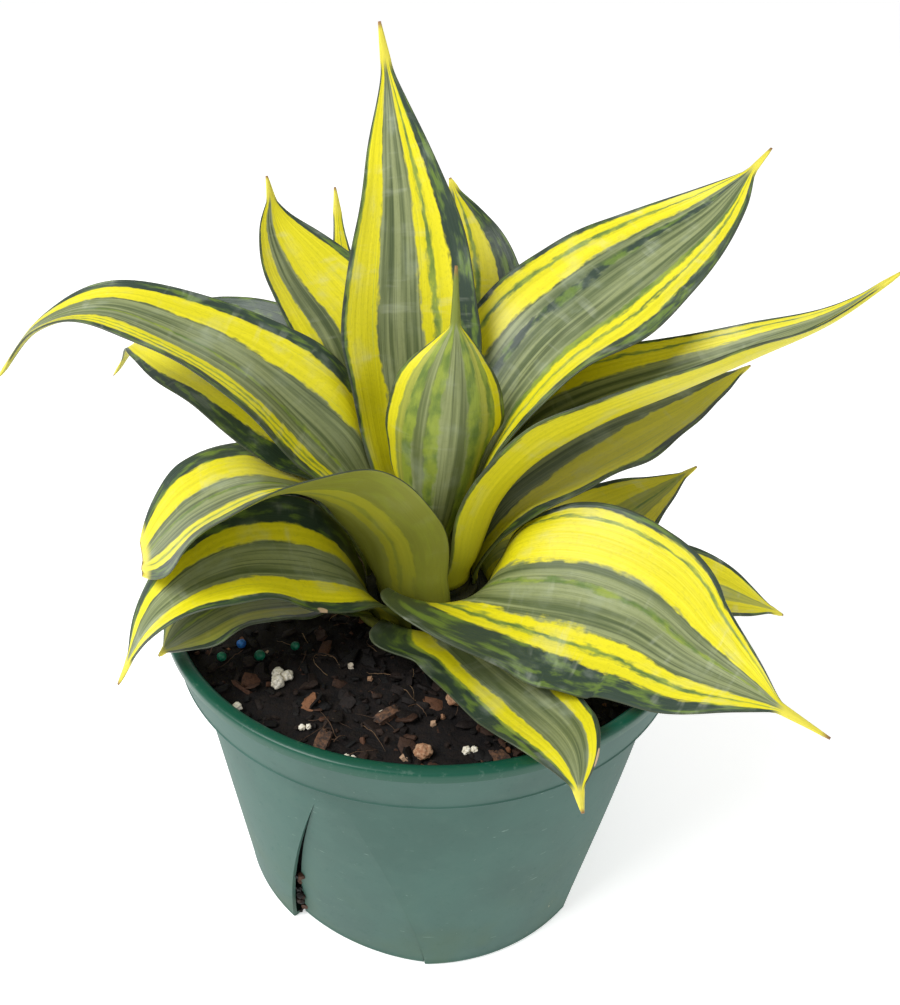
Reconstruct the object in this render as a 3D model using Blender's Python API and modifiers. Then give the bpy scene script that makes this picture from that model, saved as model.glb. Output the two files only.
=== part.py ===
"""Potted snake plant: a rosette of stiff, pointed leaves in a plastic nursery pot.

The sizes below are in millimetres and the mesh is made in metres, +Z up. The origin is the
middle of the pot's underside. -Y is the front, where the soil shows, and +X is the right.
Every leaf is a piece of its own, seated in a ring of the crown that its neighbours leave free.
"""
import math
import random

import bmesh
import bpy
from mathutils import Vector, noise
from mathutils.bvhtree import BVHTree

MM = 0.001
CLEAR = 0.3  # gap between pieces that touch on the real plant

# Pot
RIM_RADIUS = 76.0
POT_HEIGHT = 100.0
BASE_RADIUS = 59.0
WALL = 1.3
BAND_HEIGHT = 15.0  # turned band under the lip
BAND_TAPER = 3.0
BAND_STEP = 3.8  # from the foot of the band in to the wall
LIP_WIDTH = 3.4
LIP_DROP = 3.0

# Four bell-shaped panels, pressed into the wall and open along their sides
PANELS = 4
PANEL_BEARING = 251.0
PANEL_MARGIN = 11.0  # from the shoulder down to the top of a panel
PANEL_DEPTH = 3.6
PANEL_HALF_TOP = 4.0  # degrees
PANEL_HALF_FOOT = 21.5
SLIT = 1.4  # width of the open side at the foot
PANEL_CELLS = 6
WALL_CELLS = 10
FACET = 0.3  # how far the flats of the turned wall come in from its true circle
FLOOR_RADIUS = 48.0  # where the pressed panels end on the pot's floor

DRAIN_RADIUS = 4.0
DRAIN_REACH = 36.0

# Soil and crown
HEADROOM = 8.0  # lip down to the soil
CROWN_CORE = 3.2  # reach of the youngest leaf's seat
RING_GAP = 0.7  # between the leaves of one ring and the next
RINGS = 9
RING_DROP = 1.7
CROWN_DEPTH = 12.0

# Leaves
LEAF_THICKNESS = 1.7
SEAT_GAP = 0.7  # under the middle of each leaf's seat
SEAT_COLLAR = 2.5  # how far a leaf stands straight up from its seat
LEAF_CELLS_ACROSS = 8
LEAF_CELLS_ALONG = 16
POINT_RADIUS = 1.1  # half the width where the blade turns into its hard point
RIM_GAP = 3.2  # from the lip up to the middle of a leaf that crosses it
LEAF_GAP = 0.8  # kept between neighbouring leaves while they settle
REACH_THROUGH = 3.5  # deepest crossing that settling looks for
SETTLE_ROUNDS = 60
SEAT_ROWS = 1  # rows of each leaf that stay on their ring
TURN_FADE = (1.0, 1.0, 0.9, 0.5, 0.15)  # how a turned base straightens along the spine

# bearing: degrees, 0 is right, 90 is the back, 270 is the front.
# turn: how far round the crown the base is seated from that bearing.
# spine: (reach from the pot's axis, drift to the leaf's left, rise over the soil), after the seat.
# widest: where along the leaf it has its full width. The seat's width comes from its ring.
# taper: above 1 keeps the blade full towards its point. spike: length of the hard point.
# channel: half the angle that the cross-section bends through, from base to point.
# roll: degrees that the blade is turned about its spine, positive lifts its left margin.
# fold: 1 bends the cross-section evenly and less gathers the bend into a keel.
# ear: (side, outwards, upwards, where, how far along) of a margin that clasps the crown.
LEAVES = {
    # the furled centre leaf, with its back to the front
    "leaf_01": dict(
        bearing=275, ring=0, width=37, widest=0.58, taper=2.3, spike=14,
        spine=[(4.5, 0, 24), (8, 1, 40), (9, 2, 56), (7, 3, 70), (4, 4, 84), (0, 4, 100)],
        channel=(95, 75, 48, 50), roll=(0,)),
    # the tallest, upright at the back of the centre
    "leaf_02": dict(
        bearing=95, ring=1, width=40, widest=0.47, taper=1.5, spike=9,
        spine=[(7, 2, 22), (11, 5, 40), (16, 5, 56), (22, 6, 78), (28, 7, 103), (33, 10.5, 128),
               (36, 14, 149)],
        channel=(85, 45, 25, 25), roll=(0,)),
    # broad leaf to the upper right
    "leaf_03": dict(
        bearing=25, ring=2, width=50, widest=0.58, taper=2.2, spike=7,
        spine=[(9, 0, 24), (14, 0, 50), (30, 0, 73), (48, 0, 86), (66, 0, 97), (80, 0, 106),
               (95, 0, 122)],
        channel=(60, 50, 22, 25), roll=(0, 10, 5)),
    # long leaf that arches to the left and nods
    "leaf_04": dict(
        bearing=178, ring=2, width=40, widest=0.35, taper=1.4, spike=6,
        spine=[(10, 0, 20), (20, 0, 36), (33, 0, 54), (48, 0, 70), (64, 0, 79), (84, 0, 85),
               (102, 0, 79), (116, 0, 64)],
        channel=(65, 30, 20, 25), roll=(0, -15, -15, -10)),
    # long leaf to the right, folded like a keel
    "leaf_05": dict(
        bearing=0, ring=3, width=46, widest=0.38, taper=1.1, spike=6,
        spine=[(12.5, 0, 17), (18, 0, 35), (27, 0, 48), (43, 0, 60), (62, 0, 70), (80, 0, 80),
               (97, 0, 90), (111, 0, 103)],
        channel=(68, 78, 82, 74, 60), fold=(1, 0.5, 0.4, 0.4, 0.6), roll=(0, -3)),
    # back left
    "leaf_06": dict(
        bearing=131, ring=3, width=38, widest=0.6, taper=2.2, spike=6,
        spine=[(12, 0, 20), (19, 0, 46), (37, 0, 70), (60, 1, 83), (74, 1, 93), (80, 0, 105)],
        channel=(40, 35, 25, 30), roll=(0,)),
    # left, its sheath wrapped round the front, its point cut short
    "leaf_07": dict(
        bearing=203, turn=8, ring=5, width=50, widest=0.42, taper=6, spike=2,
        spine=[(17, 0, 14), (22, 0, 29), (32, 0, 41), (48, 0, 47), (64, 0, 43), (78, 0, 31)],
        channel=(80, 58, 22, 10), roll=(0, 18, 22, 5, 0)),
    # behind the tallest leaf
    "leaf_08": dict(
        bearing=85, ring=4, width=37, widest=0.6, taper=1.8, spike=8,
        spine=[(14, -1, 20), (20, -4, 46), (31, -5, 66), (46, -4, 86), (54, 1.5, 100), (60, 10, 115)],
        channel=(28, 30, 25, 25), roll=(0,)),
    # right, under the folded leaf
    "leaf_09": dict(
        bearing=19, ring=4, width=44, widest=0.5, taper=1.6, spike=3,
        spine=[(15, 0, 16), (24, 0, 28), (40, 0, 38), (57, 0, 46), (77, 0, 54), (95, 0, 64)],
        channel=(35, 35, 25, 20), roll=(0,)),
    # the broadest, front right, tilted to the front
    "leaf_10": dict(
        bearing=325, turn=-29, ring=6, width=56, widest=0.4, taper=1.8, spike=12,
        spine=[(20, 0, 11), (29, -2, 19), (45, 0, 23), (62, 0, 23), (79, 0, 19), (97, 0, 17),
               (115, 0, 14)],
        channel=(57, 25, 10, 10), roll=(0, 30, 30, 20), ear=(-1, 9, 4, 0.13, 0.14)),
    # left, behind the long arching leaf
    "leaf_11": dict(
        bearing=154, ring=4, width=46, widest=0.45, taper=1.8, spike=8,
        spine=[(14, 0, 14), (21, 0, 33), (36, 0, 54), (56, 0, 66), (74, 0, 68), (90, 0, 64),
               (101, 0, 59), (115, 0, 44)],
        channel=(35, 30, 25, 25), roll=(0, -25, -20, -10)),
    # lower left
    "leaf_12": dict(
        bearing=214, ring=7, width=38, widest=0.45, taper=1.6, spike=7,
        spine=[(22, 0, 9), (28, 0, 18), (42, 0, 28), (60, 0, 33), (78, 0, 27), (91, 0, 8)],
        channel=(42, 25, 20, 20), roll=(0, -25, -5, 0)),
    # small leaf at the back
    "leaf_13": dict(
        bearing=112, ring=6, width=18, widest=0.5, taper=1.4, spike=8,
        spine=[(21, 2, 12), (38, 4, 34), (60, 5, 60), (77, 4, 82), (86, 3, 98)],
        channel=(20, 30, 25, 25), roll=(0,)),
    # low right
    "leaf_14": dict(
        bearing=22, ring=6, width=34, widest=0.6, taper=1.6, spike=4,
        spine=[(22, 0, 11), (38, 0, 12), (56, 0, 13), (72, 0, 20), (87, 0, 29)],
        channel=(20, 30, 25, 25), roll=(0,)),
    # lowest on the left, blunt
    "leaf_15": dict(
        bearing=213, ring=8, width=28, widest=0.6, taper=4, spike=2,
        spine=[(25, 0, 6), (31, 0, 10), (44, 0, 16), (60, 0, 20), (71, 0, 17), (80, 0, 9)],
        channel=(20, 25, 20, 20), roll=(0,)),
    # low right, almost level
    "leaf_16": dict(
        bearing=354, ring=7, width=32, widest=0.6, taper=1.6, spike=3,
        spine=[(25, 0, 7), (42, 0, 8), (60, 0, 10), (78, 0, 12), (90, 0, 9.5), (101, 0, 6)],
        channel=(30, 30, 25, 25), roll=(0, 8, 8, 15, 10)),
    # low at the front, over the lip
    "leaf_17": dict(
        bearing=288, turn=-12, ring=8, width=28, widest=0.6, taper=2.5, spike=5,
        spine=[(27, 1, 6), (42, 4, 8), (62, 8, 10), (80, 9, 13), (92, 8, 8)],
        channel=(36, 25, 20, 20), roll=(0,), ear=(-1, 8, 1, 0.12, 0.12)),
    # three low leaves at the back
    "leaf_18": dict(
        bearing=62, ring=5, width=34, widest=0.5, taper=1.6, spike=5,
        spine=[(18, 0, 14), (30, 0, 28), (50, 0, 39), (74, 0, 44), (94, 0, 42)],
        channel=(22, 30, 25, 25), roll=(0,)),
    "leaf_19": dict(
        bearing=135, ring=7, width=36, widest=0.5, taper=1.6, spike=5,
        spine=[(22, 0, 8), (36, 0, 20), (56, 0, 26), (76, 0, 25), (94, 0, 15)],
        channel=(30, 30, 25, 25), roll=(0,)),
    "leaf_20": dict(
        bearing=98, ring=8, width=36, widest=0.5, taper=1.6, spike=5,
        spine=[(25, 0, 6), (42, 0, 14), (60, 0, 18), (80, 0, 16), (98, 0, 8)],
        channel=(30, 30, 25, 25), roll=(0,)),
}

# Loose pieces on the soil: (right, back) of the pot's axis, and size
PERLITE = [(-38, -38, 6.5), (-48, -50, 4), (-29, -55, 3), (-17, -64, 3), (12, -60, 3.6), (40, 52, 5)]
PRILLS = [(-55, -31, 3.2), (-51, -25, 3.2), (-45, -30, 3.6), (-36, -26, 3.0), (44, 46, 3.2)]
BARK = [(-9, -50, 7), (-24, -60, 8), (20, -64, 9), (30, 58, 8)]
STONES = [(8, -44, 4.5), (0.5, -62, 4.5)]


# ---------------------------------------------------------------- scene

for old in list(bpy.data.objects):
    bpy.data.objects.remove(old, do_unlink=True)

plant = bpy.data.collections.new("potted_snake_plant")
cutters = bpy.data.collections.new("cutters")
bpy.context.scene.collection.children.link(plant)
bpy.context.scene.collection.children.link(cutters)


def material(name, colour, roughness, metallic=0.0):
    """A plain surface of one colour."""
    mat = bpy.data.materials.new(name)
    mat.use_nodes = True
    shader = mat.node_tree.nodes["Principled BSDF"]
    shader.inputs["Base Color"].default_value = (*colour, 1.0)
    shader.inputs["Roughness"].default_value = roughness
    shader.inputs["Metallic"].default_value = metallic
    return mat


def piece(name, bm, mat, home=plant):
    """An object made of bm's mesh, facing outwards."""
    bmesh.ops.recalc_face_normals(bm, faces=bm.faces)
    mesh = bpy.data.meshes.new(name)
    bm.to_mesh(mesh)
    bm.free()
    mesh.materials.append(mat)
    obj = bpy.data.objects.new(name, mesh)
    home.objects.link(obj)
    return obj


def sheet(across, along, place):
    """A grid of across by along cells whose corners lie where place(i, j) says."""
    bm = bmesh.new()
    bmesh.ops.create_grid(bm, x_segments=across, y_segments=along, size=0.5)
    for vert in bm.verts:
        i = round((vert.co.x + 0.5) * across)
        j = round((vert.co.y + 0.5) * along)
        vert.co = Vector(place(i, j)) * MM
    return bm


def thicken(obj, thickness, offset):
    """Turns an open sheet into a closed wall."""
    mod = obj.modifiers.new("thickness", "SOLIDIFY")
    mod.thickness = thickness * MM
    mod.offset = offset
    mod.use_even_offset = True
    mod.thickness_clamp = 0.0


def turned(profile, steps):
    """A solid of revolution about Z from (radius, height) points."""
    bm = bmesh.new()
    verts = [bm.verts.new((r * MM, 0.0, z * MM)) for r, z in profile]
    edges = [bm.edges.new(pair) for pair in zip(verts, verts[1:])]
    bmesh.ops.spin(
        bm, geom=verts + edges, cent=(0, 0, 0), axis=(0, 0, 1), angle=math.tau, steps=steps)
    bmesh.ops.remove_doubles(bm, verts=bm.verts, dist=0.00001)
    return bm


def smooth(t):
    """Eases from 0 to 1."""
    t = min(max(t, 0.0), 1.0)
    return t * t * (3 - 2 * t)


# ---------------------------------------------------------------- pot

def shoulder_radius():
    return RIM_RADIUS - BAND_TAPER - BAND_STEP


def shoulder_height():
    return POT_HEIGHT - BAND_HEIGHT - 1.0


def panel_height():
    return shoulder_height() - PANEL_MARGIN


def wall_radius(height):
    """Outside of the plain wall."""
    share = min(max(height / shoulder_height(), 0.0), 1.0)
    return BASE_RADIUS + (shoulder_radius() - BASE_RADIUS) * share


def panel_fade(height):
    """1 at the foot of a panel and 0 at its top."""
    return min(max(1 - height / panel_height(), 0.0), 1.0)


def panel_depth(height):
    return PANEL_DEPTH * panel_fade(height) ** 0.8


def panel_half(height):
    """Half of a panel's width in degrees: a bell, narrow at the top."""
    share = min(max(height / panel_height(), 0.0), 1.0) ** 1.3
    return PANEL_HALF_FOOT + (PANEL_HALF_TOP - PANEL_HALF_FOOT) * share


def pot_rows():
    """(radius, height) down the outside of the pot, from inside the lip to the floor's middle."""
    lip = [
        (RIM_RADIUS - LIP_WIDTH - 0.8, POT_HEIGHT - LIP_DROP),
        (RIM_RADIUS - LIP_WIDTH, POT_HEIGHT),
        (RIM_RADIUS - 0.5, POT_HEIGHT),
        (RIM_RADIUS, POT_HEIGHT - 0.8),
        (RIM_RADIUS - BAND_TAPER, POT_HEIGHT - BAND_HEIGHT),
    ]
    levels = [shoulder_height(), panel_height()]
    levels += [panel_height() * share for share in (0.93, 0.8, 0.63, 0.45, 0.27, 0.12, 0)]
    wall = [(wall_radius(z), z) for z in levels]
    floor = [(FLOOR_RADIUS, 0.0), (FLOOR_RADIUS / 2, 0.0), (0.0, 0.0)]
    return lip + wall + floor


def pot_columns():
    """(bearing of the panel, on the panel, share) for each column round the pot."""
    columns = []
    for k in range(PANELS):
        middle = PANEL_BEARING + k * 360 / PANELS
        columns += [(middle, True, i / PANEL_CELLS) for i in range(PANEL_CELLS + 1)]
        columns += [(middle, False, i / WALL_CELLS) for i in range(WALL_CELLS + 1)]
    return columns


def pot_mesh():
    rows = pot_rows()
    columns = pot_columns()
    foot = [i for i, (r, z) in enumerate(rows) if z == 0.0][0]

    def place(i, j):
        middle, pressed, share = columns[i % len(columns)]
        radius, height = rows[j]
        fade = panel_fade(height) if j <= foot else 0.0
        half = panel_half(height)
        if pressed:
            gap = math.degrees(SLIT * fade / BASE_RADIUS)
            bearing = middle + (half - gap) * (2 * share - 1)
            radius -= panel_depth(height) if j <= foot else 0.0
        else:
            bearing = middle + half + (360 / PANELS - 2 * half) * share
        angle = math.radians(bearing)
        return radius * math.cos(angle), radius * math.sin(angle), height

    bm = sheet(len(columns), len(rows) - 1, place)
    cells = len(columns)
    sides = set()
    for k in range(PANELS):
        start = k * (PANEL_CELLS + WALL_CELLS + 2)
        sides.add(start + PANEL_CELLS)
        sides.add((start - 1) % cells)
    # create_grid lays its faces row by row
    bm.faces.ensure_lookup_table()
    risers = [face for n, face in enumerate(bm.faces) if n % cells in sides]
    bmesh.ops.delete(bm, geom=risers, context="FACES_ONLY")
    bmesh.ops.remove_doubles(bm, verts=bm.verts, dist=0.00005)
    loose = [vert for vert in bm.verts if not vert.link_faces]
    bmesh.ops.delete(bm, geom=loose, context="VERTS")
    return bm


def drain_cutter(bearing):
    """A plug that cuts one drain hole in the floor."""
    bm = bmesh.new()
    bmesh.ops.create_cone(
        bm, cap_ends=True, segments=16, radius1=DRAIN_RADIUS * MM, radius2=DRAIN_RADIUS * MM,
        depth=6 * WALL * MM)
    angle = math.radians(bearing)
    offset = Vector((math.cos(angle), math.sin(angle), 0)) * DRAIN_REACH * MM
    bmesh.ops.translate(bm, verts=bm.verts, vec=offset)
    cutter = piece("drain_cutter_%d" % round(bearing), bm, pot_plastic, cutters)
    cutter.hide_render = True
    cutter.display_type = "WIRE"
    return cutter


def build_pot():
    pot = piece("pot", pot_mesh(), pot_plastic)
    thicken(pot, WALL, -1.0)
    for k in range(PANELS):
        cut = pot.modifiers.new("drain_%d" % k, "BOOLEAN")
        cut.operation = "DIFFERENCE"
        cut.solver = "EXACT"
        cut.object = drain_cutter(PANEL_BEARING + k * 360 / PANELS)
    return pot


# ---------------------------------------------------------------- soil and crown

def soil_level():
    return POT_HEIGHT - HEADROOM


def ring_pitch():
    return LEAF_THICKNESS + RING_GAP


def ring_reach(ring):
    return CROWN_CORE + ring_pitch() * ring


def ring_level(ring):
    """Height of the seat that the leaves of a ring stand on."""
    return soil_level() + RING_DROP * (RINGS - 1 - ring)


def crown_radius():
    return ring_reach(RINGS - 1) + ring_pitch() / 2


def soil_radius(height):
    return wall_radius(height) - panel_depth(height) - WALL * 1.06 - FACET - CLEAR


def soil_height(reach):
    """Top of the soil, a little lower towards the pot's wall."""
    return soil_level() - 1.2 * smooth((reach - crown_radius()) / 40)


def build_soil():
    edge = RIM_RADIUS - BAND_TAPER - WALL - FACET - CLEAR - 0.8
    ledge = POT_HEIGHT - BAND_HEIGHT + WALL
    seat = crown_radius() + CLEAR
    seat_floor = soil_level() - CROWN_DEPTH - CLEAR
    bottom = WALL + CLEAR
    levels = [bottom, 10, 25, 42, panel_height(), shoulder_height() - 1]
    profile = [(0, bottom)] + [(soil_radius(z), z) for z in levels]
    profile += [(soil_radius(levels[-1]) - 0.5, ledge + 1), (edge, ledge + 3)]
    profile += [(edge, soil_height(edge))]
    profile += [(r, soil_height(r)) for r in (edge * 0.8, edge * 0.6, seat + 4)]
    profile += [(seat, soil_height(seat)), (seat, seat_floor), (0, seat_floor)]
    return piece("soil", turned(profile, 48), potting_mix)


def build_crown():
    """The stem top: a stack of ring scars, one for each ring of leaves."""
    bottom = soil_level() - CROWN_DEPTH
    profile = [(0, ring_level(0))]
    for ring in range(RINGS):
        outer = ring_reach(ring) + ring_pitch() / 2
        profile.append((outer, ring_level(ring)))
        if ring < RINGS - 1:
            profile.append((outer, ring_level(ring + 1)))
    profile += [(crown_radius(), bottom), (0, bottom)]
    return piece("crown", turned(profile, 32), rhizome)


# ---------------------------------------------------------------- leaves

def mix(a, b, t):
    return tuple(p + (q - p) * t for p, q in zip(a, b))


def through(points, share):
    """The point at a share from 0 to 1 of a centripetal Catmull-Rom curve through points."""
    spans = len(points) - 1
    at = min(share * spans, spans - 1e-9)
    k = int(at)
    before = points[k - 1] if k else mix(points[0], points[1], -1)
    after = points[k + 2] if k + 2 <= spans else mix(points[-1], points[-2], -1)
    p = [before, points[k], points[k + 1], after]
    knots = [0.0]
    for a, b in zip(p, p[1:]):
        knots.append(knots[-1] + max(math.dist(a, b), 1e-6) ** 0.5)
    t = knots[1] + (knots[2] - knots[1]) * (at - k)
    one = [mix(p[n], p[n + 1], (t - knots[n]) / (knots[n + 1] - knots[n])) for n in range(3)]
    two = [mix(one[n], one[n + 1], (t - knots[n]) / (knots[n + 2] - knots[n])) for n in range(2)]
    return mix(two[0], two[1], (t - knots[1]) / (knots[2] - knots[1]))


def station(values, share):
    """A value that changes smoothly between evenly spaced stations."""
    if len(values) == 1:
        return values[0]
    at = min(share * (len(values) - 1), len(values) - 1 - 1e-9)
    k = int(at)
    return values[k] + (values[k + 1] - values[k]) * smooth(at - k)


def spine_points(leaf):
    """(reach, drift, rise, turn) from the seat to the point, clear of the pot's lip."""
    reach = ring_reach(leaf["ring"])
    seat = ring_level(leaf["ring"]) + SEAT_GAP - soil_level()
    points = []
    for k, (reach, drift, rise) in enumerate([(reach, 0, seat), (reach, 0, seat + SEAT_COLLAR)] + leaf["spine"]):
        if abs(reach - RIM_RADIUS) < 12:
            rise = max(rise, HEADROOM + RIM_GAP)
        fade = TURN_FADE[k] if k < len(TURN_FADE) else 0.0
        points.append((reach, drift, rise, leaf.get("turn", 0) * fade))
    return points


def leaf_frames(leaf, count):
    """(share, spine point, left, face) for each row: one at the collar, the rest evenly spaced."""
    points = spine_points(leaf)
    fine = 240
    path = []
    for n in range(fine + 1):
        reach, drift, rise, turn = through(points, n / fine)
        bearing = math.radians(leaf["bearing"] + turn)
        out = Vector((math.cos(bearing), math.sin(bearing), 0))
        left = Vector((-math.sin(bearing), math.cos(bearing), 0))
        path.append((out * reach + left * drift + Vector((0, 0, soil_level() + rise)), left))
    lengths = [0.0]
    for (a, _), (b, _) in zip(path, path[1:]):
        lengths.append(lengths[-1] + (b - a).length)
    frames = []
    k = 0
    collar = 0.8 * SEAT_COLLAR / lengths[-1]
    for n in range(count + 1):
        share = collar + (1 - collar) * (n - 1) / (count - 1) if n else 0.0
        while k < fine - 1 and lengths[k + 1] < share * lengths[-1]:
            k += 1
        t = (share * lengths[-1] - lengths[k]) / (lengths[k + 1] - lengths[k])
        spot = path[k][0].lerp(path[k + 1][0], t)
        tangent = (path[min(k + 2, fine)][0] - path[max(k - 1, 0)][0]).normalized()
        left = path[k][1]
        left = (left - tangent * tangent.dot(left)).normalized()
        face = tangent.cross(left)
        roll = math.radians(station(leaf["roll"], share))
        rolled = left * math.cos(roll) + face * math.sin(roll)
        frames.append((share, spot, rolled, tangent.cross(rolled)))
    return frames, lengths[-1]


def half_width(leaf, share, length):
    """Half of the blade's width, measured along its bent cross-section."""
    full = leaf["width"] / 2
    blade = 1 - leaf["spike"] / length
    along = share / blade
    widest = leaf["widest"]
    if along < widest:
        seat = ring_reach(leaf["ring"]) * math.radians(leaf["channel"][0])
        return seat + (full - seat) * math.sin(along / widest * math.pi / 2) ** 1.3
    fall = (along - widest) / (1 - widest)
    width = full * max(1 - fall ** leaf["taper"], 0.0)
    point = POINT_RADIUS * min(1.0, (1 - share) / (1 - blade)) + 0.25
    return math.hypot(width, point * min(fall, 1.0))


def section(leaf, share, count):
    """(across, up) of count + 1 points of the bent cross-section, for a half width of 1."""
    bend = math.radians(station(leaf["channel"], share))
    fold = station(leaf.get("fold", (1,)), share)
    steps = 8 * count
    points = [(0.0, 0.0)]
    for n in range(steps):
        u = (n + 0.5) / steps * 2 - 1
        angle = bend * math.copysign(abs(u) ** fold, u)
        x, y = points[-1]
        points.append((x + math.cos(angle) * 2 / steps, y + math.sin(angle) * 2 / steps))
    middle = points[steps // 2]
    return [(x - middle[0], y - middle[1]) for x, y in points[::8]]


def ear(leaf, share, across, left):
    """How far the base of a margin stands out where it clasps the crown."""
    side, push, lift, place, reach = leaf.get("ear", (0, 0, 0, 0, 1))
    weight = smooth(1 - abs(share - place) / reach) * smooth(side * across)
    return (left * side * push + Vector((0, 0, lift))) * weight


def leaf_points(leaf):
    """Corners of the leaf's middle surface, row by row from its seat."""
    frames, length = leaf_frames(leaf, LEAF_CELLS_ALONG)
    points = []
    for share, spot, left, face in frames:
        width = half_width(leaf, share, length)
        for i, (across, up) in enumerate(section(leaf, share, LEAF_CELLS_ACROSS)):
            spread_out = ear(leaf, share, i / LEAF_CELLS_ACROSS * 2 - 1, left)
            points.append(spot + left * across * width + face * up * width + spread_out)
    return points


def leaf_faces():
    """Corner numbers of each cell, wound to face the upper side of the leaf."""
    wide = LEAF_CELLS_ACROSS + 1
    faces = []
    for j in range(LEAF_CELLS_ALONG):
        for i in range(LEAF_CELLS_ACROSS):
            a = j * wide + i
            faces.append((a, a + wide, a + wide + 1, a + 1))
    return faces


def press(points, tree, side, room):
    """How far each point has to move to lie on its own side of another leaf, with room."""
    moves = {}
    for n, point in enumerate(points):
        if n < SEAT_ROWS * (LEAF_CELLS_ACROSS + 1):
            continue
        spot, normal, _, distance = tree.find_nearest(point, room + REACH_THROUGH)
        if spot is None:
            continue
        away = point - spot
        out = normal * side
        depth = away.dot(out)
        if (away - out * depth).length < 0.2:
            if depth < room:
                moves[n] = out * (room - depth)
        elif 0 < depth and distance < room:
            moves[n] = away.normalized() * (room - distance)
    return moves


def spread(moves, wide, count):
    """Each row and column of a leaf follows its pressed points part of the way."""
    for _ in range(2):
        around = {}
        for n, move in moves.items():
            i = n % wide
            for m in ((n - 1) if i else n, (n + 1) if i < wide - 1 else n, n - wide, n + wide):
                if SEAT_ROWS * wide <= m < count and m != n:
                    around.setdefault(m, []).append(move)
        for n, near in around.items():
            mean = sum(near, Vector()) / 4
            own = moves.get(n)
            moves[n] = mean if own is None else own + (mean - own) * 0.25 * len(near) / 4
    return moves


def settle(leaves):
    """Leaves that grow through each other press apart, the older one to the outside."""
    names = sorted(leaves, key=lambda name: (LEAVES[name]["ring"], name))
    faces = leaf_faces()
    wide = LEAF_CELLS_ACROSS + 1
    room = LEAF_THICKNESS + LEAF_GAP
    for _ in range(SETTLE_ROUNDS):
        trees = {name: BVHTree.FromPolygons(leaves[name], faces) for name in names}
        moves = {name: {} for name in names}
        for k, inner in enumerate(names):
            for outer in names[k + 1:]:
                for mover, other, side in ((outer, inner, -1), (inner, outer, 1)):
                    for n, move in press(leaves[mover], trees[other], side, room).items():
                        held = moves[mover].get(n)
                        if held is None or held.length < move.length:
                            moves[mover][n] = move
        if not any(moves.values()):
            break
        for name in names:
            for n, move in spread(moves[name], wide, len(leaves[name])).items():
                leaves[name][n] = leaves[name][n] + move * 0.4


def build_leaves():
    leaves = {name: leaf_points(leaf) for name, leaf in LEAVES.items()}
    settle(leaves)
    wide = LEAF_CELLS_ACROSS + 1
    for name, points in leaves.items():
        bm = sheet(LEAF_CELLS_ACROSS, LEAF_CELLS_ALONG, lambda i, j: points[j * wide + i])
        thicken(piece(name, bm, leaf_skin), LEAF_THICKNESS, 0.0)


# ---------------------------------------------------------------- loose pieces

def lump(name, x, y, size, squash, rough, mat, seed):
    """An uneven rounded grain lying on the soil."""
    bm = bmesh.new()
    bmesh.ops.create_icosphere(bm, subdivisions=2, radius=size / 2 * MM)
    for vert in bm.verts:
        bump = noise.noise(vert.co.normalized() * 1.7 + Vector((seed, 0, 0)))
        vert.co *= 1 + rough * bump
        vert.co.z *= squash
    lowest = min(vert.co.z for vert in bm.verts)
    ground = soil_height(math.hypot(x, y))
    obj = piece(name, bm, mat)
    obj.location = (x * MM, y * MM, (ground + CLEAR) * MM - lowest)
    return obj


def bark_chip(name, x, y, size, heading):
    """A flat, worn splinter."""
    bm = bmesh.new()
    bmesh.ops.create_cube(bm, size=1.0)
    for vert in bm.verts:
        vert.co.x *= size * MM * (1.0 if vert.co.y > 0 else 0.8)
        vert.co.y *= size * 0.45 * MM
        vert.co.z *= 2.2 * MM
    obj = piece(name, bm, bark)
    bevel = obj.modifiers.new("worn_edges", "BEVEL")
    bevel.width = 0.5 * MM
    bevel.segments = 2
    ground = soil_height(math.hypot(x, y))
    obj.location = (x * MM, y * MM, (ground + CLEAR + 1.1) * MM)
    obj.rotation_euler = (0, 0, math.radians(heading))
    return obj


def build_loose_pieces():
    dice = random.Random(7)
    for n, (x, y, size) in enumerate(PERLITE, 1):
        lump("perlite_%d" % n, x, y, size, 0.8, 0.5, perlite, n)
    for n, (x, y, size) in enumerate(PRILLS, 1):
        lump("prill_%d" % n, x, y, size, 1.0, 0.08, prill_skins[n % 2], n + 20)
    for n, (x, y, size) in enumerate(STONES, 1):
        lump("stone_%d" % n, x, y, size, 0.75, 0.35, stone, n + 40)
    for n, (x, y, size) in enumerate(BARK, 1):
        bark_chip("bark_%d" % n, x, y, size, dice.uniform(0, 180))


# ---------------------------------------------------------------- build

pot_plastic = material("pot_plastic", (0.07, 0.22, 0.17), 0.45)
potting_mix = material("potting_mix", (0.03, 0.022, 0.017), 0.95)
rhizome = material("rhizome", (0.35, 0.38, 0.16), 0.7)
leaf_skin = material("leaf_skin", (0.26, 0.36, 0.12), 0.4)
perlite = material("perlite", (0.82, 0.78, 0.68), 0.9)
stone = material("stone", (0.55, 0.36, 0.22), 0.8)
bark = material("bark", (0.22, 0.11, 0.06), 0.9)
prill_skins = [
    material("prill_green", (0.03, 0.3, 0.2), 0.5),
    material("prill_blue", (0.08, 0.25, 0.55), 0.5),
]

build_pot()
build_soil()
build_crown()
build_leaves()
build_loose_pieces()
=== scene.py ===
import math
import random

import bmesh
import bpy
import numpy as np
from mathutils import Matrix, Vector, noise
from mathutils.bvhtree import BVHTree


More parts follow.
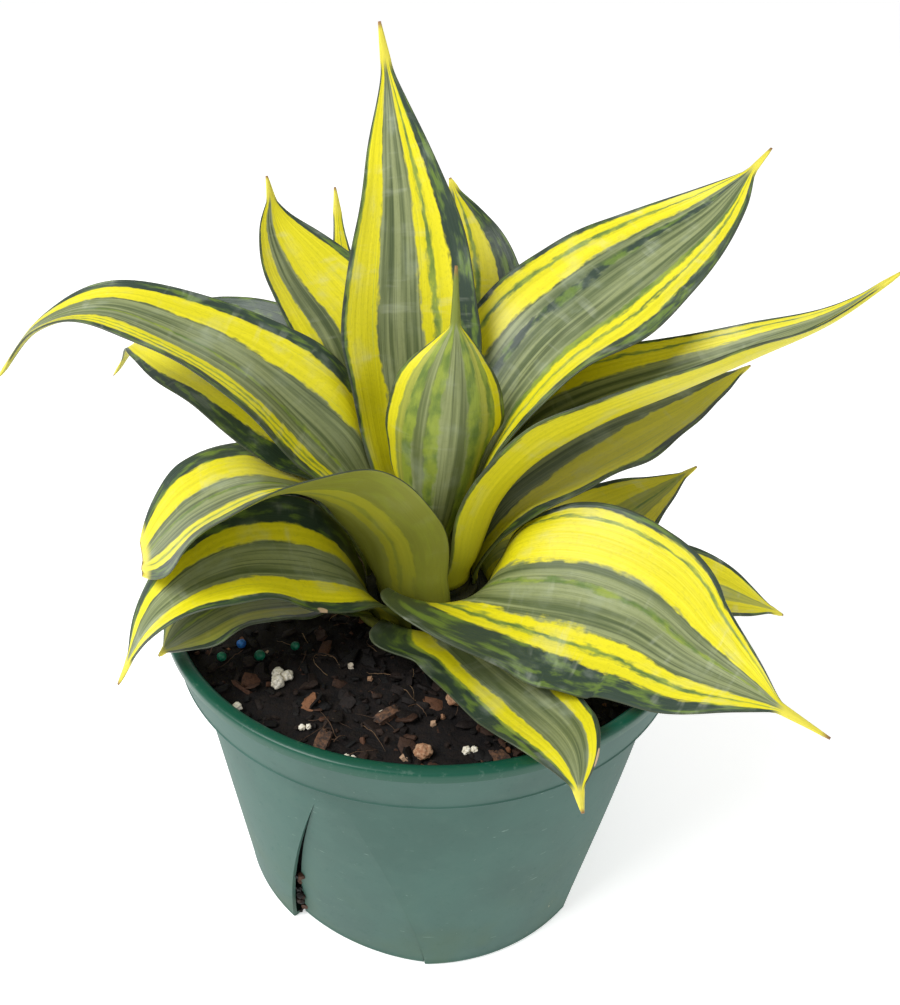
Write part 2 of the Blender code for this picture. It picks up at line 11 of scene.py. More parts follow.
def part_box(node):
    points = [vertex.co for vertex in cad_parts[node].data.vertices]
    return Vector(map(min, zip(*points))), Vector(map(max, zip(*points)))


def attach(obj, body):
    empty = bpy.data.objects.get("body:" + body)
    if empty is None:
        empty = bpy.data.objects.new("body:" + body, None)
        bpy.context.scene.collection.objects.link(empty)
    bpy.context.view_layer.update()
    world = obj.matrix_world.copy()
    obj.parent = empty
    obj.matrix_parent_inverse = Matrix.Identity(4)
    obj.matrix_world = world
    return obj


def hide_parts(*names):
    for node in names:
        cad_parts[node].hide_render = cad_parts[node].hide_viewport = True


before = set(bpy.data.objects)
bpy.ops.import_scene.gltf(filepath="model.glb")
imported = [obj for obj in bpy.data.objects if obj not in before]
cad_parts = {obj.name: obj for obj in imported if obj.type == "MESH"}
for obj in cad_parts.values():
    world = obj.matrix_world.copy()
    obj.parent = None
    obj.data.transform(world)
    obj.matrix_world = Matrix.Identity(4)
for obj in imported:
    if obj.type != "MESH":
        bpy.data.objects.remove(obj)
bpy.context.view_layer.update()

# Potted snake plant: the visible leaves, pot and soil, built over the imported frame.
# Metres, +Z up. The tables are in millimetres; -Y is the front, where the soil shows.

MM = 0.001

pot_low, pot_high = (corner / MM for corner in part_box("pot"))

# Pot
RIM_RADIUS = (pot_high.x - pot_low.x) / 2
POT_HEIGHT = pot_high.z
BASE_RADIUS = 59.0
WALL = 1.3
BAND_HEIGHT = 15.0
BAND_TAPER = 3.0
BAND_STEP = 3.8
LIP_WIDTH = 3.4
LIP_DROP = 3.0
PANELS = 4
PANEL_BEARING = 251.0
SHOULDER = POT_HEIGHT - BAND_HEIGHT - 1.0
PANEL_HEIGHT = SHOULDER - 11.0
PANEL_DEPTH = 3.6
PANEL_HALF_TOP = 4.0
PANEL_HALF_FOOT = 21.5
SLIT = 1.4
SHUT_SIDE = 0.2
FLOOR_RADIUS = 48.0
DRAIN_RADIUS = 4.0
DRAIN_REACH = 36.0

# Soil and crown
SOIL_LEVEL = 92.0
CROWN_CORE = 3.2
RING_PITCH = 2.4
RINGS = 9
RING_DROP = 1.7
SEAT_GAP = 0.7
SEAT_COLLAR = 2.5

# Leaves
BLADE_THICKNESS = 2.0
SETTLE_ROOM = 2.4
REACH_THROUGH = 3.5
SETTLE_ROUNDS = 60
COARSE_ACROSS, COARSE_ALONG = 8, 16
FINE_ACROSS, FINE_ALONG = 28, 96
POINT_RADIUS = 1.1
RIM_GAP = 3.2
TURN_FADE = (1.0, 1.0, 0.9, 0.5, 0.15)

# Loose pieces on the soil: x, y and size
PERLITE = [(-38, -38, 6.5), (-48, -50, 4), (-29, -55, 3), (-17, -64, 3), (12, -60, 3.6),
           (40, 52, 5)]
PRILLS = [(-55, -31, 3.2), (-51, -25, 3.2), (-45, -30, 3.6), (-36, -26, 3.0), (44, 46, 3.2)]
BARK = [(-9, -50, 7), (-24, -60, 8), (20, -64, 9), (30, 58, 8)]
STONES = [(8, -44, 4.5), (0.5, -62, 4.5)]
BLUE_PRILL = 2
CRUMBS, SPILLED_CRUMBS = 1500, 90
PALE_GRAINS = 70
FIBRES, FIBRE_STEPS, FIBRE_SIDES = 150, 9, 5
LITTER_INNER, LITTER_OUTER = 23.0, 70.0

# The shape of each leaf.
# bearing: degrees, 0 is right, 90 is the back, 270 is the front. turn: of the seat, from it.
# spine: (reach from the pot's axis, drift to the leaf's left, rise over the soil).
# channel: half the angle that the cross-section bends through, from base to point.
# roll: degrees about the spine, positive lifts the left margin. fold: below 1 makes a keel.
# wave: height and number of the waves in the margins. cut: below 1, the point is cut short.
# ear: side, push, lift, place and reach of a lobe at the base that clasps the crown.
# young, under: strength of the tints at the base and on the under side. tip: the spike's colour.
# scar: across, along and size of a dry spot.
LEAVES = {
    # the furled centre leaf, with its back to the front
    "leaf_01": dict(
        under=0.1, tip=(0.16, 0.2, 0.03),
        bearing=275, ring=0, width=37, widest=0.58, taper=2.3, spike=14,
        spine=[(4.5, 0, 24), (8, 1, 40), (9, 2, 56), (7, 3, 70), (4, 4, 84), (0, 4, 100)],
        channel=(95, 75, 48, 50)),
    # the tallest, upright at the back of the centre
    "leaf_02": dict(
        bearing=95, ring=1, width=40, widest=0.47, taper=1.5, spike=9,
        spine=[(7, 2, 22), (11, 5, 40), (16, 5, 56), (22, 6, 78), (28, 7, 103), (33, 10.5, 128),
               (36, 14, 149)],
        channel=(85, 45, 25, 25)),
    # broad leaf to the upper right
    "leaf_03": dict(
        bearing=25, ring=2, width=50, widest=0.58, taper=2.2, spike=7,
        spine=[(9, 0, 24), (14, 0, 50), (30, 0, 73), (48, 0, 86), (66, 0, 97), (80, 0, 106),
               (95, 0, 122)],
        channel=(60, 50, 22, 25), roll=(0, 10, 5)),
    # long leaf that arches to the left and nods
    "leaf_04": dict(
        bearing=178, ring=2, width=40, widest=0.35, taper=1.4, spike=6,
        spine=[(10, 0, 20), (20, 0, 36), (33, 0, 54), (48, 0, 70), (64, 0, 79), (84, 0, 85),
               (102, 0, 79), (116, 0, 64)],
        channel=(65, 30, 20, 25), roll=(0, -15, -15, -10)),
    # long leaf to the right, folded like a keel
    "leaf_05": dict(
        bearing=0, ring=3, width=46, widest=0.38, taper=1.1, spike=6,
        spine=[(12.5, 0, 17), (18, 0, 35), (27, 0, 48), (43, 0, 60), (62, 0, 70), (80, 0, 80),
               (97, 0, 90), (111, 0, 103)],
        channel=(68, 62, 60, 56, 46), fold=(1, 0.5, 0.4, 0.4, 0.6), under=0.12),
    # back left
    "leaf_06": dict(
        bearing=131, ring=3, width=38, widest=0.6, taper=2.2, spike=6,
        spine=[(12, 0, 20), (19, 0, 46), (37, 0, 70), (60, 1, 83), (74, 1, 93), (80, 0, 105)],
        channel=(40, 35, 25, 30)),
    # left, its sheath wrapped round the front, its point cut short
    "leaf_07": dict(
        cut=0.9, young=0.6, under=0.75, bearing=203, turn=8, ring=5, width=54, widest=0.42,
        taper=6, spike=2,
        spine=[(17, 0, 14), (22, 0, 29), (32, 0, 41), (48, 0, 47), (64, 0, 43), (78, 0, 31)],
        channel=(80, 58, 22, 10), roll=(0, 18, 20, 10, 4)),
    # behind the tallest leaf
    "leaf_08": dict(
        bearing=85, ring=4, width=37, widest=0.6, taper=1.8, spike=3,
        spine=[(14, -1, 20), (20, -4, 46), (31, -5, 66), (46, -4, 86), (54, -1, 96),
               (58, 4, 107)],
        channel=(28, 30, 25, 25)),
    # right, under the folded leaf
    "leaf_09": dict(
        young=0.15, under=0.1, bearing=19, ring=4, width=44, widest=0.5, taper=1.6, spike=3,
        spine=[(15, 0, 16), (24, 0, 28), (40, 0, 38), (57, 0, 46), (77, 0, 54), (95, 0, 64)],
        channel=(35, 35, 25, 20)),
    # the broadest, front right, tilted to the front
    "leaf_10": dict(
        bearing=325, turn=-29, ring=6, width=56, widest=0.4, taper=1.8, spike=12,
        spine=[(20, 0, 11), (29, -2, 19), (45, 0, 23), (62, 0, 23), (79, 0, 19), (97, 0, 17),
               (115, 0, 14)],
        young=0.08, channel=(57, 25, 10, 10), roll=(0, 30, 30, 20), ear=(-1, 9, 4, 0.13, 0.14)),
    # left, behind the long arching leaf
    "leaf_11": dict(
        bearing=154, ring=4, width=46, widest=0.45, taper=1.8, spike=8,
        spine=[(14, 0, 14), (21, 0, 32), (36, 2, 51), (56, 4, 61), (74, 4, 64), (90, 2, 62),
               (101, 0, 59), (115, 0, 44)],
        channel=(35, 30, 25, 25), roll=(0, -32, -26, -10)),
    # lower left
    "leaf_12": dict(
        bearing=214, ring=7, width=38, widest=0.45, taper=1.6, spike=7,
        spine=[(22, 0, 9), (28, 0, 18), (42, 0, 28), (60, 0, 33), (78, 0, 27), (91, 0, 8)],
        channel=(42, 25, 20, 20), roll=(0, -25, -5, 0), scar=(0.02, 0.36, 2.0)),
    # small leaf at the back
    "leaf_13": dict(
        bearing=112, ring=6, width=18, widest=0.5, taper=1.4, spike=8,
        spine=[(21, 2, 12), (38, 4, 34), (60, 5, 60), (77, 4, 82), (86, 3, 98)],
        channel=(20, 30, 25, 25)),
    # low right
    "leaf_14": dict(
        bearing=22, ring=6, width=34, widest=0.6, taper=1.6, spike=4,
        spine=[(22, 0, 11), (38, 0, 12), (56, 0, 13), (72, 0, 20), (87, 0, 29)],
        channel=(20, 30, 25, 25)),
    # lowest on the left, blunt
    "leaf_15": dict(
        bearing=213, ring=8, width=28, widest=0.6, taper=4, spike=2,
        spine=[(25, 0, 6), (31, 0, 10), (44, 0, 16), (60, 0, 20), (71, 0, 17), (80, 0, 9)],
        channel=(20, 25, 20, 20)),
    # low right, almost level
    "leaf_16": dict(
        bearing=354, ring=7, width=32, widest=0.6, taper=1.6, spike=3,
        spine=[(25, 0, 7), (42, 0, 8), (60, 0, 10), (78, 0, 12), (90, 0, 9.5), (101, 0, 6)],
        channel=(30, 30, 25, 25), roll=(0, 8, 8, 15, 10)),
    # low at the front, over the lip
    "leaf_17": dict(
        bearing=288, turn=-12, ring=8, width=28, widest=0.6, taper=2.5, spike=5,
        spine=[(27, 1, 6), (42, 4, 8), (62, 8, 10), (80, 9, 13), (92, 8, 8)],
        young=0.08, scar=(0.0, 0.86, 1.6), wave=(0.1, 3), channel=(36, 25, 20, 20),
        ear=(-1, 8, 1, 0.12, 0.12)),
    # three low leaves at the back
    "leaf_18": dict(
        bearing=62, ring=5, width=34, widest=0.5, taper=1.6, spike=5,
        spine=[(18, 0, 14), (30, 0, 28), (50, 0, 39), (74, 0, 44), (94, 0, 42)],
        channel=(22, 30, 25, 25)),
    "leaf_19": dict(
        bearing=135, ring=7, width=36, widest=0.5, taper=1.6, spike=5,
        spine=[(22, 0, 8), (36, 0, 20), (56, 0, 26), (76, 0, 25), (94, 0, 15)],
        channel=(30, 30, 25, 25)),
    "leaf_20": dict(
        bearing=98, ring=8, width=36, widest=0.5, taper=1.6, spike=5,
        spine=[(25, 0, 6), (42, 0, 14), (60, 0, 18), (80, 0, 16), (98, 0, 8)],
        channel=(30, 30, 25, 25)),
}

# The bands of each leaf from its left margin to its right one:
# a finish, then where it begins at the base and at the point, as shares of the width.
PLAIN_BANDS = "dark 0 0, yellow .16 .14, grey .32 .34, yellow .68 .66, dark .84 .86"
BANDS = {
    "leaf_01": "dark 0 0, yellow .05 .1, line .15 .2, olive .24 .26, line .3 .32, grey .38 .4, "
               "line .54 .52, grey .6 .6, line .68 .66, olive .76 .74, yellow .84 .8, "
               "dark .95 .93",
    "leaf_02": "dark 0 0, line .02 .03, yellow .05 .06, grey .36 .26, yellow .6 .54, "
               "line .66 .62, yellow .69 .66, dark .82 .76",
    "leaf_03": "dark 0 0, yellow .05 .04, line .13 .12, yellow .16 .15, grey .28 .26, "
               "dark .34 .33, grey .4 .37, line .6 .64, yellow .64 .67, line .69 .72, "
               "yellow .71 .74, dark .78 .86",
    "leaf_04": "dark 0 0, yellow .15 .08, line .19 .13, yellow .21 .15, line .25 .2, "
               "yellow .265 .215, grey .31 .27, line .42 .42, grey .44 .44, yellow .62 .64, "
               "dark .8 .84",
    "leaf_05": "dark 0 0, yellow .04 .04, line .11 .12, yellow .13 .15, grey .27 .24, "
               "dark .47 .47, grey .5 .5, yellow .53 .53, dark .97 .95",
    "leaf_06": "dark 0 0, yellow .05 .05, grey .24 .22, yellow .42 .38, dark .88 .84",
    "leaf_07": "dark 0 0, yellow .26 .2, line .33 .28, yellow .36 .3, grey .4 .36, line .52 .5, "
               "grey .54 .52, yellow .66 .62, dark .8 .84",
    "leaf_08": "dark 0 0, grey .1 .12, yellow .44 .4, line .56 .52, yellow .6 .56, dark .76 .7",
    "leaf_09": "dark 0 0, grey .25 .08, yellow .62 .36, dark .84 .86",
    "leaf_10": "dark 0 0, yellow .05 .05, line .1 .12, yellow .11 .15, grey .33 .35, "
               "line .41 .45, grey .43 .47, yellow .57 .66, line .62 .73, yellow .65 .76, "
               "dark .69 .86",
    "leaf_11": "dark 0 0, yellow .3 .06, dark .42 .94",
    "leaf_12": "dark 0 0, yellow .16 .1, grey .36 .32, yellow .6 .64, dark .7 .8",
    "leaf_13": "dark 0 0, yellow .12 .1, line .5 .5, yellow .54 .54, dark .88 .88",
    "leaf_14": "dark 0 0, yellow .1 .08, olive .38 .36, line .5 .5, olive .53 .53, "
               "yellow .66 .68, dark .88 .9",
    # leaf_15 is darker, with olive in its bands: partly its own colour and partly painted shade
    # from the leaves above
    "leaf_15": "dark 0 0, olive .16 .1, grey .3 .3, line .48 .5, grey .52 .53, olive .74 .7, "
               "dark .86 .86",
    "leaf_16": "dark 0 0, yellow .12 .1, olive .4 .4, yellow .62 .62, dark .86 .88",
    "leaf_17": "dark 0 0, yellow .08 .07, grey .22 .22, yellow .56 .62, line .66 .8, "
               "dark .69 .84",
}


# ---------------------------------------------------------------- leaf surfaces

def link(name, data):
    obj = bpy.data.objects.new(name, data)
    bpy.context.scene.collection.objects.link(obj)
    return obj


def shade(mesh, crease=None):
    """Smooth shading, apart from edges sharper than the crease, in degrees."""
    mesh.polygons.foreach_set("use_smooth", [True] * len(mesh.polygons))
    if crease:
        mesh.set_sharp_from_angle(angle=math.radians(crease))


def from_bmesh(name, bm, crease=None):
    mesh = bpy.data.meshes.new(name)
    bm.to_mesh(mesh)
    bm.free()
    shade(mesh, crease)
    return link(name, mesh)


def smooth(t):
    t = np.clip(t, 0.0, 1.0)
    return t * t * (3 - 2 * t)


def mix(a, b, t):
    return a + (b - a) * t


def through(points, share):
    """The point at a share from 0 to 1 of a centripetal Catmull-Rom curve through points."""
    spans = len(points) - 1
    at = min(share * spans, spans - 1e-9)
    k = int(at)
    before = points[k - 1] if k else mix(points[0], points[1], -1)
    after = points[k + 2] if k + 2 <= spans else mix(points[-1], points[-2], -1)
    p = [before, points[k], points[k + 1], after]
    knots = [0.0]
    for a, b in zip(p, p[1:]):
        knots.append(knots[-1] + max(float(np.linalg.norm(b - a)), 1e-6) ** 0.5)
    t = knots[1] + (knots[2] - knots[1]) * (at - k)
    one = [mix(p[n], p[n + 1], (t - knots[n]) / (knots[n + 1] - knots[n])) for n in range(3)]
    two = [mix(one[n], one[n + 1], (t - knots[n]) / (knots[n + 2] - knots[n])) for n in range(2)]
    return mix(two[0], two[1], (t - knots[1]) / (knots[2] - knots[1]))


def station(values, share):
    """Values that change smoothly between evenly spaced stations."""
    values = np.atleast_1d(np.asarray(values, float))
    if len(values) == 1:
        return np.full(np.shape(share), values[0])
    at = np.minimum(np.asarray(share) * (len(values) - 1), len(values) - 1 - 1e-9)
    k = at.astype(int)
    return values[k] + (values[k + 1] - values[k]) * smooth(at - k)


def ring_reach(ring):
    return CROWN_CORE + RING_PITCH * ring


def ring_level(ring):
    return SOIL_LEVEL + RING_DROP * (RINGS - 1 - ring)


def spine_path(leaf, fine=240):
    """Points of the spine, the leaf's left at each, and the length up to each."""
    reach = ring_reach(leaf["ring"])
    seat = ring_level(leaf["ring"]) + SEAT_GAP - SOIL_LEVEL
    points = []
    for k, (out, drift, rise) in enumerate(
            [(reach, 0, seat), (reach, 0, seat + SEAT_COLLAR)] + leaf["spine"]):
        if abs(out - RIM_RADIUS) < 12:
            rise = max(rise, POT_HEIGHT - SOIL_LEVEL + RIM_GAP)
        fade = TURN_FADE[k] if k < len(TURN_FADE) else 0.0
        points.append(np.array((out, drift, rise, leaf.get("turn", 0) * fade), float))
    path = np.array([through(points, n / fine) for n in range(fine + 1)])
    bearing = np.radians(leaf["bearing"] + path[:, 3])
    out = np.stack([np.cos(bearing), np.sin(bearing), 0 * bearing], 1)
    left = np.stack([-np.sin(bearing), np.cos(bearing), 0 * bearing], 1)
    spots = out * path[:, :1] + left * path[:, 1:2]
    spots[:, 2] = SOIL_LEVEL + path[:, 2]
    lengths = np.append(0, np.cumsum(np.linalg.norm(np.diff(spots, axis=0), axis=1)))
    return spots, left, lengths


def half_width(leaf, share, length):
    """Half of the blade's width, along its bent cross-section."""
    full = leaf["width"] / 2
    blade = 1 - leaf["spike"] / length
    along = share / blade
    widest = leaf["widest"]
    seat = ring_reach(leaf["ring"]) * math.radians(leaf["channel"][0])
    rise = np.sin(np.minimum(along / widest, 1) * math.pi / 2) ** 1.3
    lower = seat + (full - seat) * rise
    fall = np.maximum((along - widest) / (1 - widest), 0) * leaf.get("cut", 1)
    upper = full * np.maximum(1 - fall ** leaf["taper"], 0.0)
    point = POINT_RADIUS * np.minimum(1.0, (1 - share) / (1 - blade)) + 0.25
    return np.where(along < widest, lower, np.hypot(upper, point * np.minimum(fall, 1.0)))


def sections(leaf, share, across):
    """(across, up) of the bent cross-section at each share, for a half width of 1."""
    bend = np.radians(station(leaf["channel"], share))[:, None]
    fold = station(leaf.get("fold", 1), share)[:, None]
    u = np.linspace(-1, 1, 129)[None, :]
    angle = bend * np.sign(u) * np.abs(u) ** fold
    step = u[0, 1] - u[0, 0]
    rows = []
    for course in (np.cos(angle), np.sin(angle)):
        run = np.cumsum((course[:, 1:] + course[:, :-1]) / 2 * step, axis=1)
        run = np.concatenate([np.zeros((len(share), 1)), run], axis=1)
        run -= run[:, 64:65]
        rows.append(np.array([np.interp(across, u[0], r) for r in run]))
    return rows


def blade_surface(leaf, share, across):
    """The middle surface of a leaf: its points, row by row from the seat, and its length."""
    spots, lefts, lengths = spine_path(leaf)
    at = share * lengths[-1]
    spot = np.stack([np.interp(at, lengths, spots[:, k]) for k in range(3)], 1)
    tangents = spots[np.minimum(np.arange(len(spots)) + 2, len(spots) - 1)]
    tangents = tangents - spots[np.maximum(np.arange(len(spots)) - 2, 0)]
    tangent = np.stack([np.interp(at, lengths, tangents[:, k]) for k in range(3)], 1)
    tangent /= np.linalg.norm(tangent, axis=1, keepdims=True)
    left = np.stack([np.interp(at, lengths, lefts[:, k]) for k in range(3)], 1)
    left -= tangent * (tangent * left).sum(1, keepdims=True)
    left /= np.linalg.norm(left, axis=1, keepdims=True)
    face = np.cross(tangent, left)
    roll = np.radians(station(leaf.get("roll", 0), share))[:, None]
    rolled = left * np.cos(roll) + face * np.sin(roll)
    face = np.cross(tangent, rolled)
    width = half_width(leaf, share, lengths[-1])[:, None, None]
    x, y = sections(leaf, share, across)
    points = spot[:, None] + (rolled[:, None] * x[..., None] + face[:, None] * y[..., None]) * width
    side, push, lift, place, reach = leaf.get("ear", (0, 0, 0, 0, 1))
    clasp = smooth(1 - np.abs(share - place) / reach)[:, None] * smooth(side * across)[None]
    stand = rolled * side * push + np.array((0, 0, lift))
    points = points + stand[:, None] * clasp[..., None]
    return points, lengths[-1]


def row_shares(leaf, count, length):
    """Where the rows of a leaf lie: one at its collar, the rest evenly spaced."""
    collar = 0.8 * SEAT_COLLAR / length
    return np.append(0.0, collar + (1 - collar) * np.arange(count) / (count - 1))


def grid_faces(rows, columns):
    """Corner numbers of each cell of a grid, wound to face the upper side of a leaf."""
    n = np.arange(rows * columns).reshape(rows, columns)
    return np.stack([n[:-1, :-1], n[1:, :-1], n[1:, 1:], n[:-1, 1:]], -1).reshape(-1, 4)


def press(points, tree, side, room, fixed):
    """How far each point has to move to lie on its own side of another leaf, with room."""
    moves = {}
    for n in range(fixed, len(points)):
        point = Vector(points[n])
        spot, normal, _, distance = tree.find_nearest(point, room + REACH_THROUGH)
        if spot is None:
            continue
        away = point - spot
        out = normal * side
        depth = away.dot(out)
        if (away - out * depth).length < 0.2:
            if depth < room:
                moves[n] = np.array(out * (room - depth))
        elif 0 < depth and distance < room:
            moves[n] = np.array(away.normalized() * (room - distance))
    return moves


def spread(moves, wide, count):
    """Each row and column of a leaf follows its pressed points part of the way."""
    for _ in range(2):
        around = {}
        for n, move in moves.items():
            i = n % wide
            for m in ((n - 1) if i else n, (n + 1) if i < wide - 1 else n, n - wide, n + wide):
                if wide <= m < count and m != n:
                    around.setdefault(m, []).append(move)
        for n, near in around.items():
            mean = sum(near) / 4
            own = moves.get(n)
            moves[n] = mean if own is None else own + (mean - own) * 0.25 * len(near) / 4
    return moves


def settle(leaves):
    """Leaves that grow through each other press apart, the older one to the outside."""
    names = sorted(leaves, key=lambda name: (LEAVES[name]["ring"], name))
    faces = grid_faces(COARSE_ALONG + 1, COARSE_ACROSS + 1).tolist()
    wide = COARSE_ACROSS + 1
    for _ in range(SETTLE_ROUNDS):
        trees = {name: BVHTree.FromPolygons(leaves[name].tolist(), faces) for name in names}
        boxes = {name: (leaves[name].min(0) - 6, leaves[name].max(0) + 6) for name in names}
        moves = {name: {} for name in names}
        for k, inner in enumerate(names):
            for outer in names[k + 1:]:
                if (boxes[inner][0] > boxes[outer][1]).any() or (
                        boxes[outer][0] > boxes[inner][1]).any():
                    continue
                for mover, other, side in ((outer, inner, -1), (inner, outer, 1)):
                    found = press(leaves[mover], trees[other], side, SETTLE_ROOM, wide)
                    for n, move in found.items():
                        held = moves[mover].get(n)
                        if held is None or np.linalg.norm(held) < np.linalg.norm(move):
                            moves[mover][n] = move
        if not any(moves.values()):
            break
        for name in names:
            for n, move in spread(moves[name], wide, len(leaves[name])).items():
                leaves[name][n] = leaves[name][n] + move * 0.4


def between(coarse, fine):
    """Weights that read values at the fine places off the coarse places on a smooth curve."""
    weights = np.zeros((len(fine), len(coarse)))
    last = len(coarse) - 1
    for row, x in enumerate(fine):
        k = min(max(int(np.searchsorted(coarse, x)) - 1, 0), last - 1)
        t = (x - coarse[k]) / (coarse[k + 1] - coarse[k])
        cubic = ((-t + 2 * t * t - t ** 3) / 2, (2 - 5 * t * t + 3 * t ** 3) / 2,
                 (t + 4 * t * t - 3 * t ** 3) / 2, (t ** 3 - t * t) / 2)
        for step, weight in zip((-1, 0, 1, 2), cubic):
            weights[row, min(max(k + step, 0), last)] += weight
    return weights


def blade_thickness(leaf, share, across, width):
    """Thick in the middle and at the base, thin at the margins, round in the point."""
    along = 1 - 0.4 * share
    profile = 0.28 + 0.72 * (1 - np.abs(across) ** 2.2)
    thick = BLADE_THICKNESS * along[:, None] * profile[None, :]
    return np.minimum(thick, 1.5 * width[:, None])


def leaf_mesh(name, points, thick, share):
    """A closed blade with thin, rounded margins, from its middle surface."""
    rows, columns = points.shape[:2]
    along = np.gradient(points, axis=0)
    over = np.gradient(points, axis=1)
    normal = np.cross(over, along)
    length = np.linalg.norm(normal, axis=2, keepdims=True)
    normal /= np.maximum(length, 1e-9)
    top = points + normal * thick[..., None] / 2
    under = points - normal * thick[..., None] / 2
    side = over / np.maximum(np.linalg.norm(over, axis=2, keepdims=True), 1e-9)
    left = points[:, :1] - side[:, :1] * thick[:, :1, None] * 0.4
    right = points[:, -1:] + side[:, -1:] * thick[:, -1:, None] * 0.4
    ring = np.concatenate([left, top, right, under[:, ::-1]], axis=1)
    count = ring.shape[1]
    verts = np.concatenate([ring.reshape(-1, 3), ring[0].mean(0)[None], ring[-1].mean(0)[None]])
    x = np.linspace(0, 1, columns)
    ring_x = np.concatenate([[0], x, [1], 2 + x[::-1]])
    n = np.arange(rows * count).reshape(rows, count)
    after = np.roll(n, -1, axis=1)
    faces = np.stack([n[:-1], after[:-1], after[1:], n[1:]], -1).reshape(-1, 4).tolist()
    low, high = rows * count, rows * count + 1
    faces += [(low, n[0, (i + 1) % count], n[0, i]) for i in range(count)]
    faces += [(high, n[-1, i], n[-1, (i + 1) % count]) for i in range(count)]
    mesh = bpy.data.meshes.new(name)
    mesh.from_pydata((verts * MM).tolist(), [], faces)
    # the place on the blade: across from 0 to 1, or 2 to 3 on the under side, and along
    blade = mesh.uv_layers.new(name="blade")
    places = np.zeros((len(mesh.loops), 2))
    corner = np.zeros(len(mesh.loops), int)
    mesh.loops.foreach_get("vertex_index", corner)
    column = np.minimum(corner, rows * count - 1) % count
    row = np.minimum(corner, rows * count - 1) // count
    places[:, 0] = ring_x[column]
    places[:, 1] = share[row]
    starts = np.arange((rows - 1) * count) * 4
    kind = np.tile(np.arange(count), rows - 1)
    for first, value in ((columns + 1, 1.0), (count - 1, 0.0)):
        # a margin's lower strip belongs to the upper side
        cells = starts[kind == first]
        for k in range(4):
            places[cells + k, 0] = value
    blade.data.foreach_set("uv", places.ravel())
    shade(mesh)
    mesh.update()
    return link(name, mesh)


def grow_leaves():
    coarse_across = np.linspace(-1, 1, COARSE_ACROSS + 1)
    coarse, shares = {}, {}
    for name, leaf in LEAVES.items():
        length = spine_path(leaf)[2][-1]
        shares[name] = row_shares(leaf, COARSE_ALONG, length)
        coarse[name] = blade_surface(leaf, shares[name], coarse_across)[0]
    settled = {name: grid.reshape(-1, 3).copy() for name, grid in coarse.items()}
    settle(settled)
    fine_across = -np.cos(np.linspace(0, 1, FINE_ACROSS + 1) * math.pi) * 0.5 + np.linspace(
        -1, 1, FINE_ACROSS + 1) * 0.5
    made = {}
    for n, (name, leaf) in enumerate(LEAVES.items()):
        rows = np.linspace(0, 1, FINE_ALONG + 1)
        rows = rows + 0.06 * np.sin(rows * math.pi * 2) / math.pi
        points, length = blade_surface(leaf, rows, fine_across)
        moved = settled[name].reshape(coarse[name].shape) - coarse[name]
        down, over = between(shares[name], rows), between(coarse_across, fine_across)
        points = points + np.einsum("ra,abk,cb->rck", down, moved, over)
        width = half_width(leaf, rows, length)
        normal = np.cross(np.gradient(points, axis=0), np.gradient(points, axis=1))
        normal /= np.maximum(np.linalg.norm(normal, axis=2, keepdims=True), 1e-9)
        height, waves = leaf.get("wave", (0.5, 3.2))
        swell = np.sin(rows * waves * math.tau + n)[:, None] * np.sign(fine_across)[None]
        swell = swell + 0.6 * np.sin(rows * waves * 1.7 * math.tau + 2 * n)[:, None]
        edge = np.abs(fine_across)[None] ** 3 * np.minimum(width / 8, 1)[:, None]
        fade = smooth(rows / 0.3)[:, None]
        points = points + normal * (swell * edge * fade * height)[..., None]
        thick = blade_thickness(leaf, rows, fine_across, width)
        # across runs from the leaf's left margin to its right one
        obj = leaf_mesh(name + "_blade", points[:, ::-1], thick[:, ::-1], rows)
        made[name] = (obj, length)
    return made


# ---------------------------------------------------------------- pot, soil and litter

def wall_radius(height):
    shoulder = RIM_RADIUS - BAND_TAPER - BAND_STEP
    return BASE_RADIUS + (shoulder - BASE_RADIUS) * np.clip(height / SHOULDER, 0, 1)


def panel_fade(height):
    return np.clip(1 - height / PANEL_HEIGHT, 0, 1)


def panel_depth(height):
    return PANEL_DEPTH * panel_fade(height) ** 0.8


def panel_half(height):
    share = np.clip(height / PANEL_HEIGHT, 0, 1) ** 1.3
    return PANEL_HALF_FOOT + (PANEL_HALF_TOP - PANEL_HALF_FOOT) * share


def pot_profile():
    """(radius, height) down the outside, from inside the rolled lip to the floor's middle,
    and the number of rows that the pressed panels reach through."""
    r, h = RIM_RADIUS, POT_HEIGHT
    band = r - BAND_TAPER
    rows = [(r - LIP_WIDTH - 0.8, h - LIP_DROP), (r - LIP_WIDTH - 0.4, h - 1.2),
            (r - LIP_WIDTH + 0.1, h - 0.4), (r - LIP_WIDTH + 0.9, h), (r - 1.2, h),
            (r - 0.5, h - 0.12), (r - 0.12, h - 0.5), (r, h - 1.1), (r - 0.15, h - LIP_DROP),
            (r - 0.5, h - LIP_DROP - 0.25)]
    rows += [(r - 0.5 + (band - r + 0.5) * t, h - LIP_DROP - 0.25
              + (LIP_DROP + 0.25 - BAND_HEIGHT + 0.7) * t) for t in (0.3, 0.6, 1.0)]
    rows += [(band + 0.22, h - BAND_HEIGHT + 0.35), (band, h - BAND_HEIGHT),
             (wall_radius(SHOULDER) + 0.4, SHOULDER + 0.5)]
    levels = np.linspace(SHOULDER, 0, 46)
    levels = np.append(levels[:-1], [1.6, 0.9, 0.35, 0.08])
    curl = [0, 0.25, 0.8, 1.7]
    wall = [(float(wall_radius(z)), z) for z in levels[:-4]]
    wall += [(BASE_RADIUS + 0.3 - c, z) for c, z in zip(curl, levels[-4:])]
    floor = [(BASE_RADIUS - 7.5, 0.0), (FLOOR_RADIUS, 0.0)]
    floor += [(DRAIN_REACH + 6 - n * 0.75, 0.0) for n in range(17)] + [(14.0, 0.0), (0.0, 0.0)]
    return rows + wall + floor, len(rows) + len(wall)


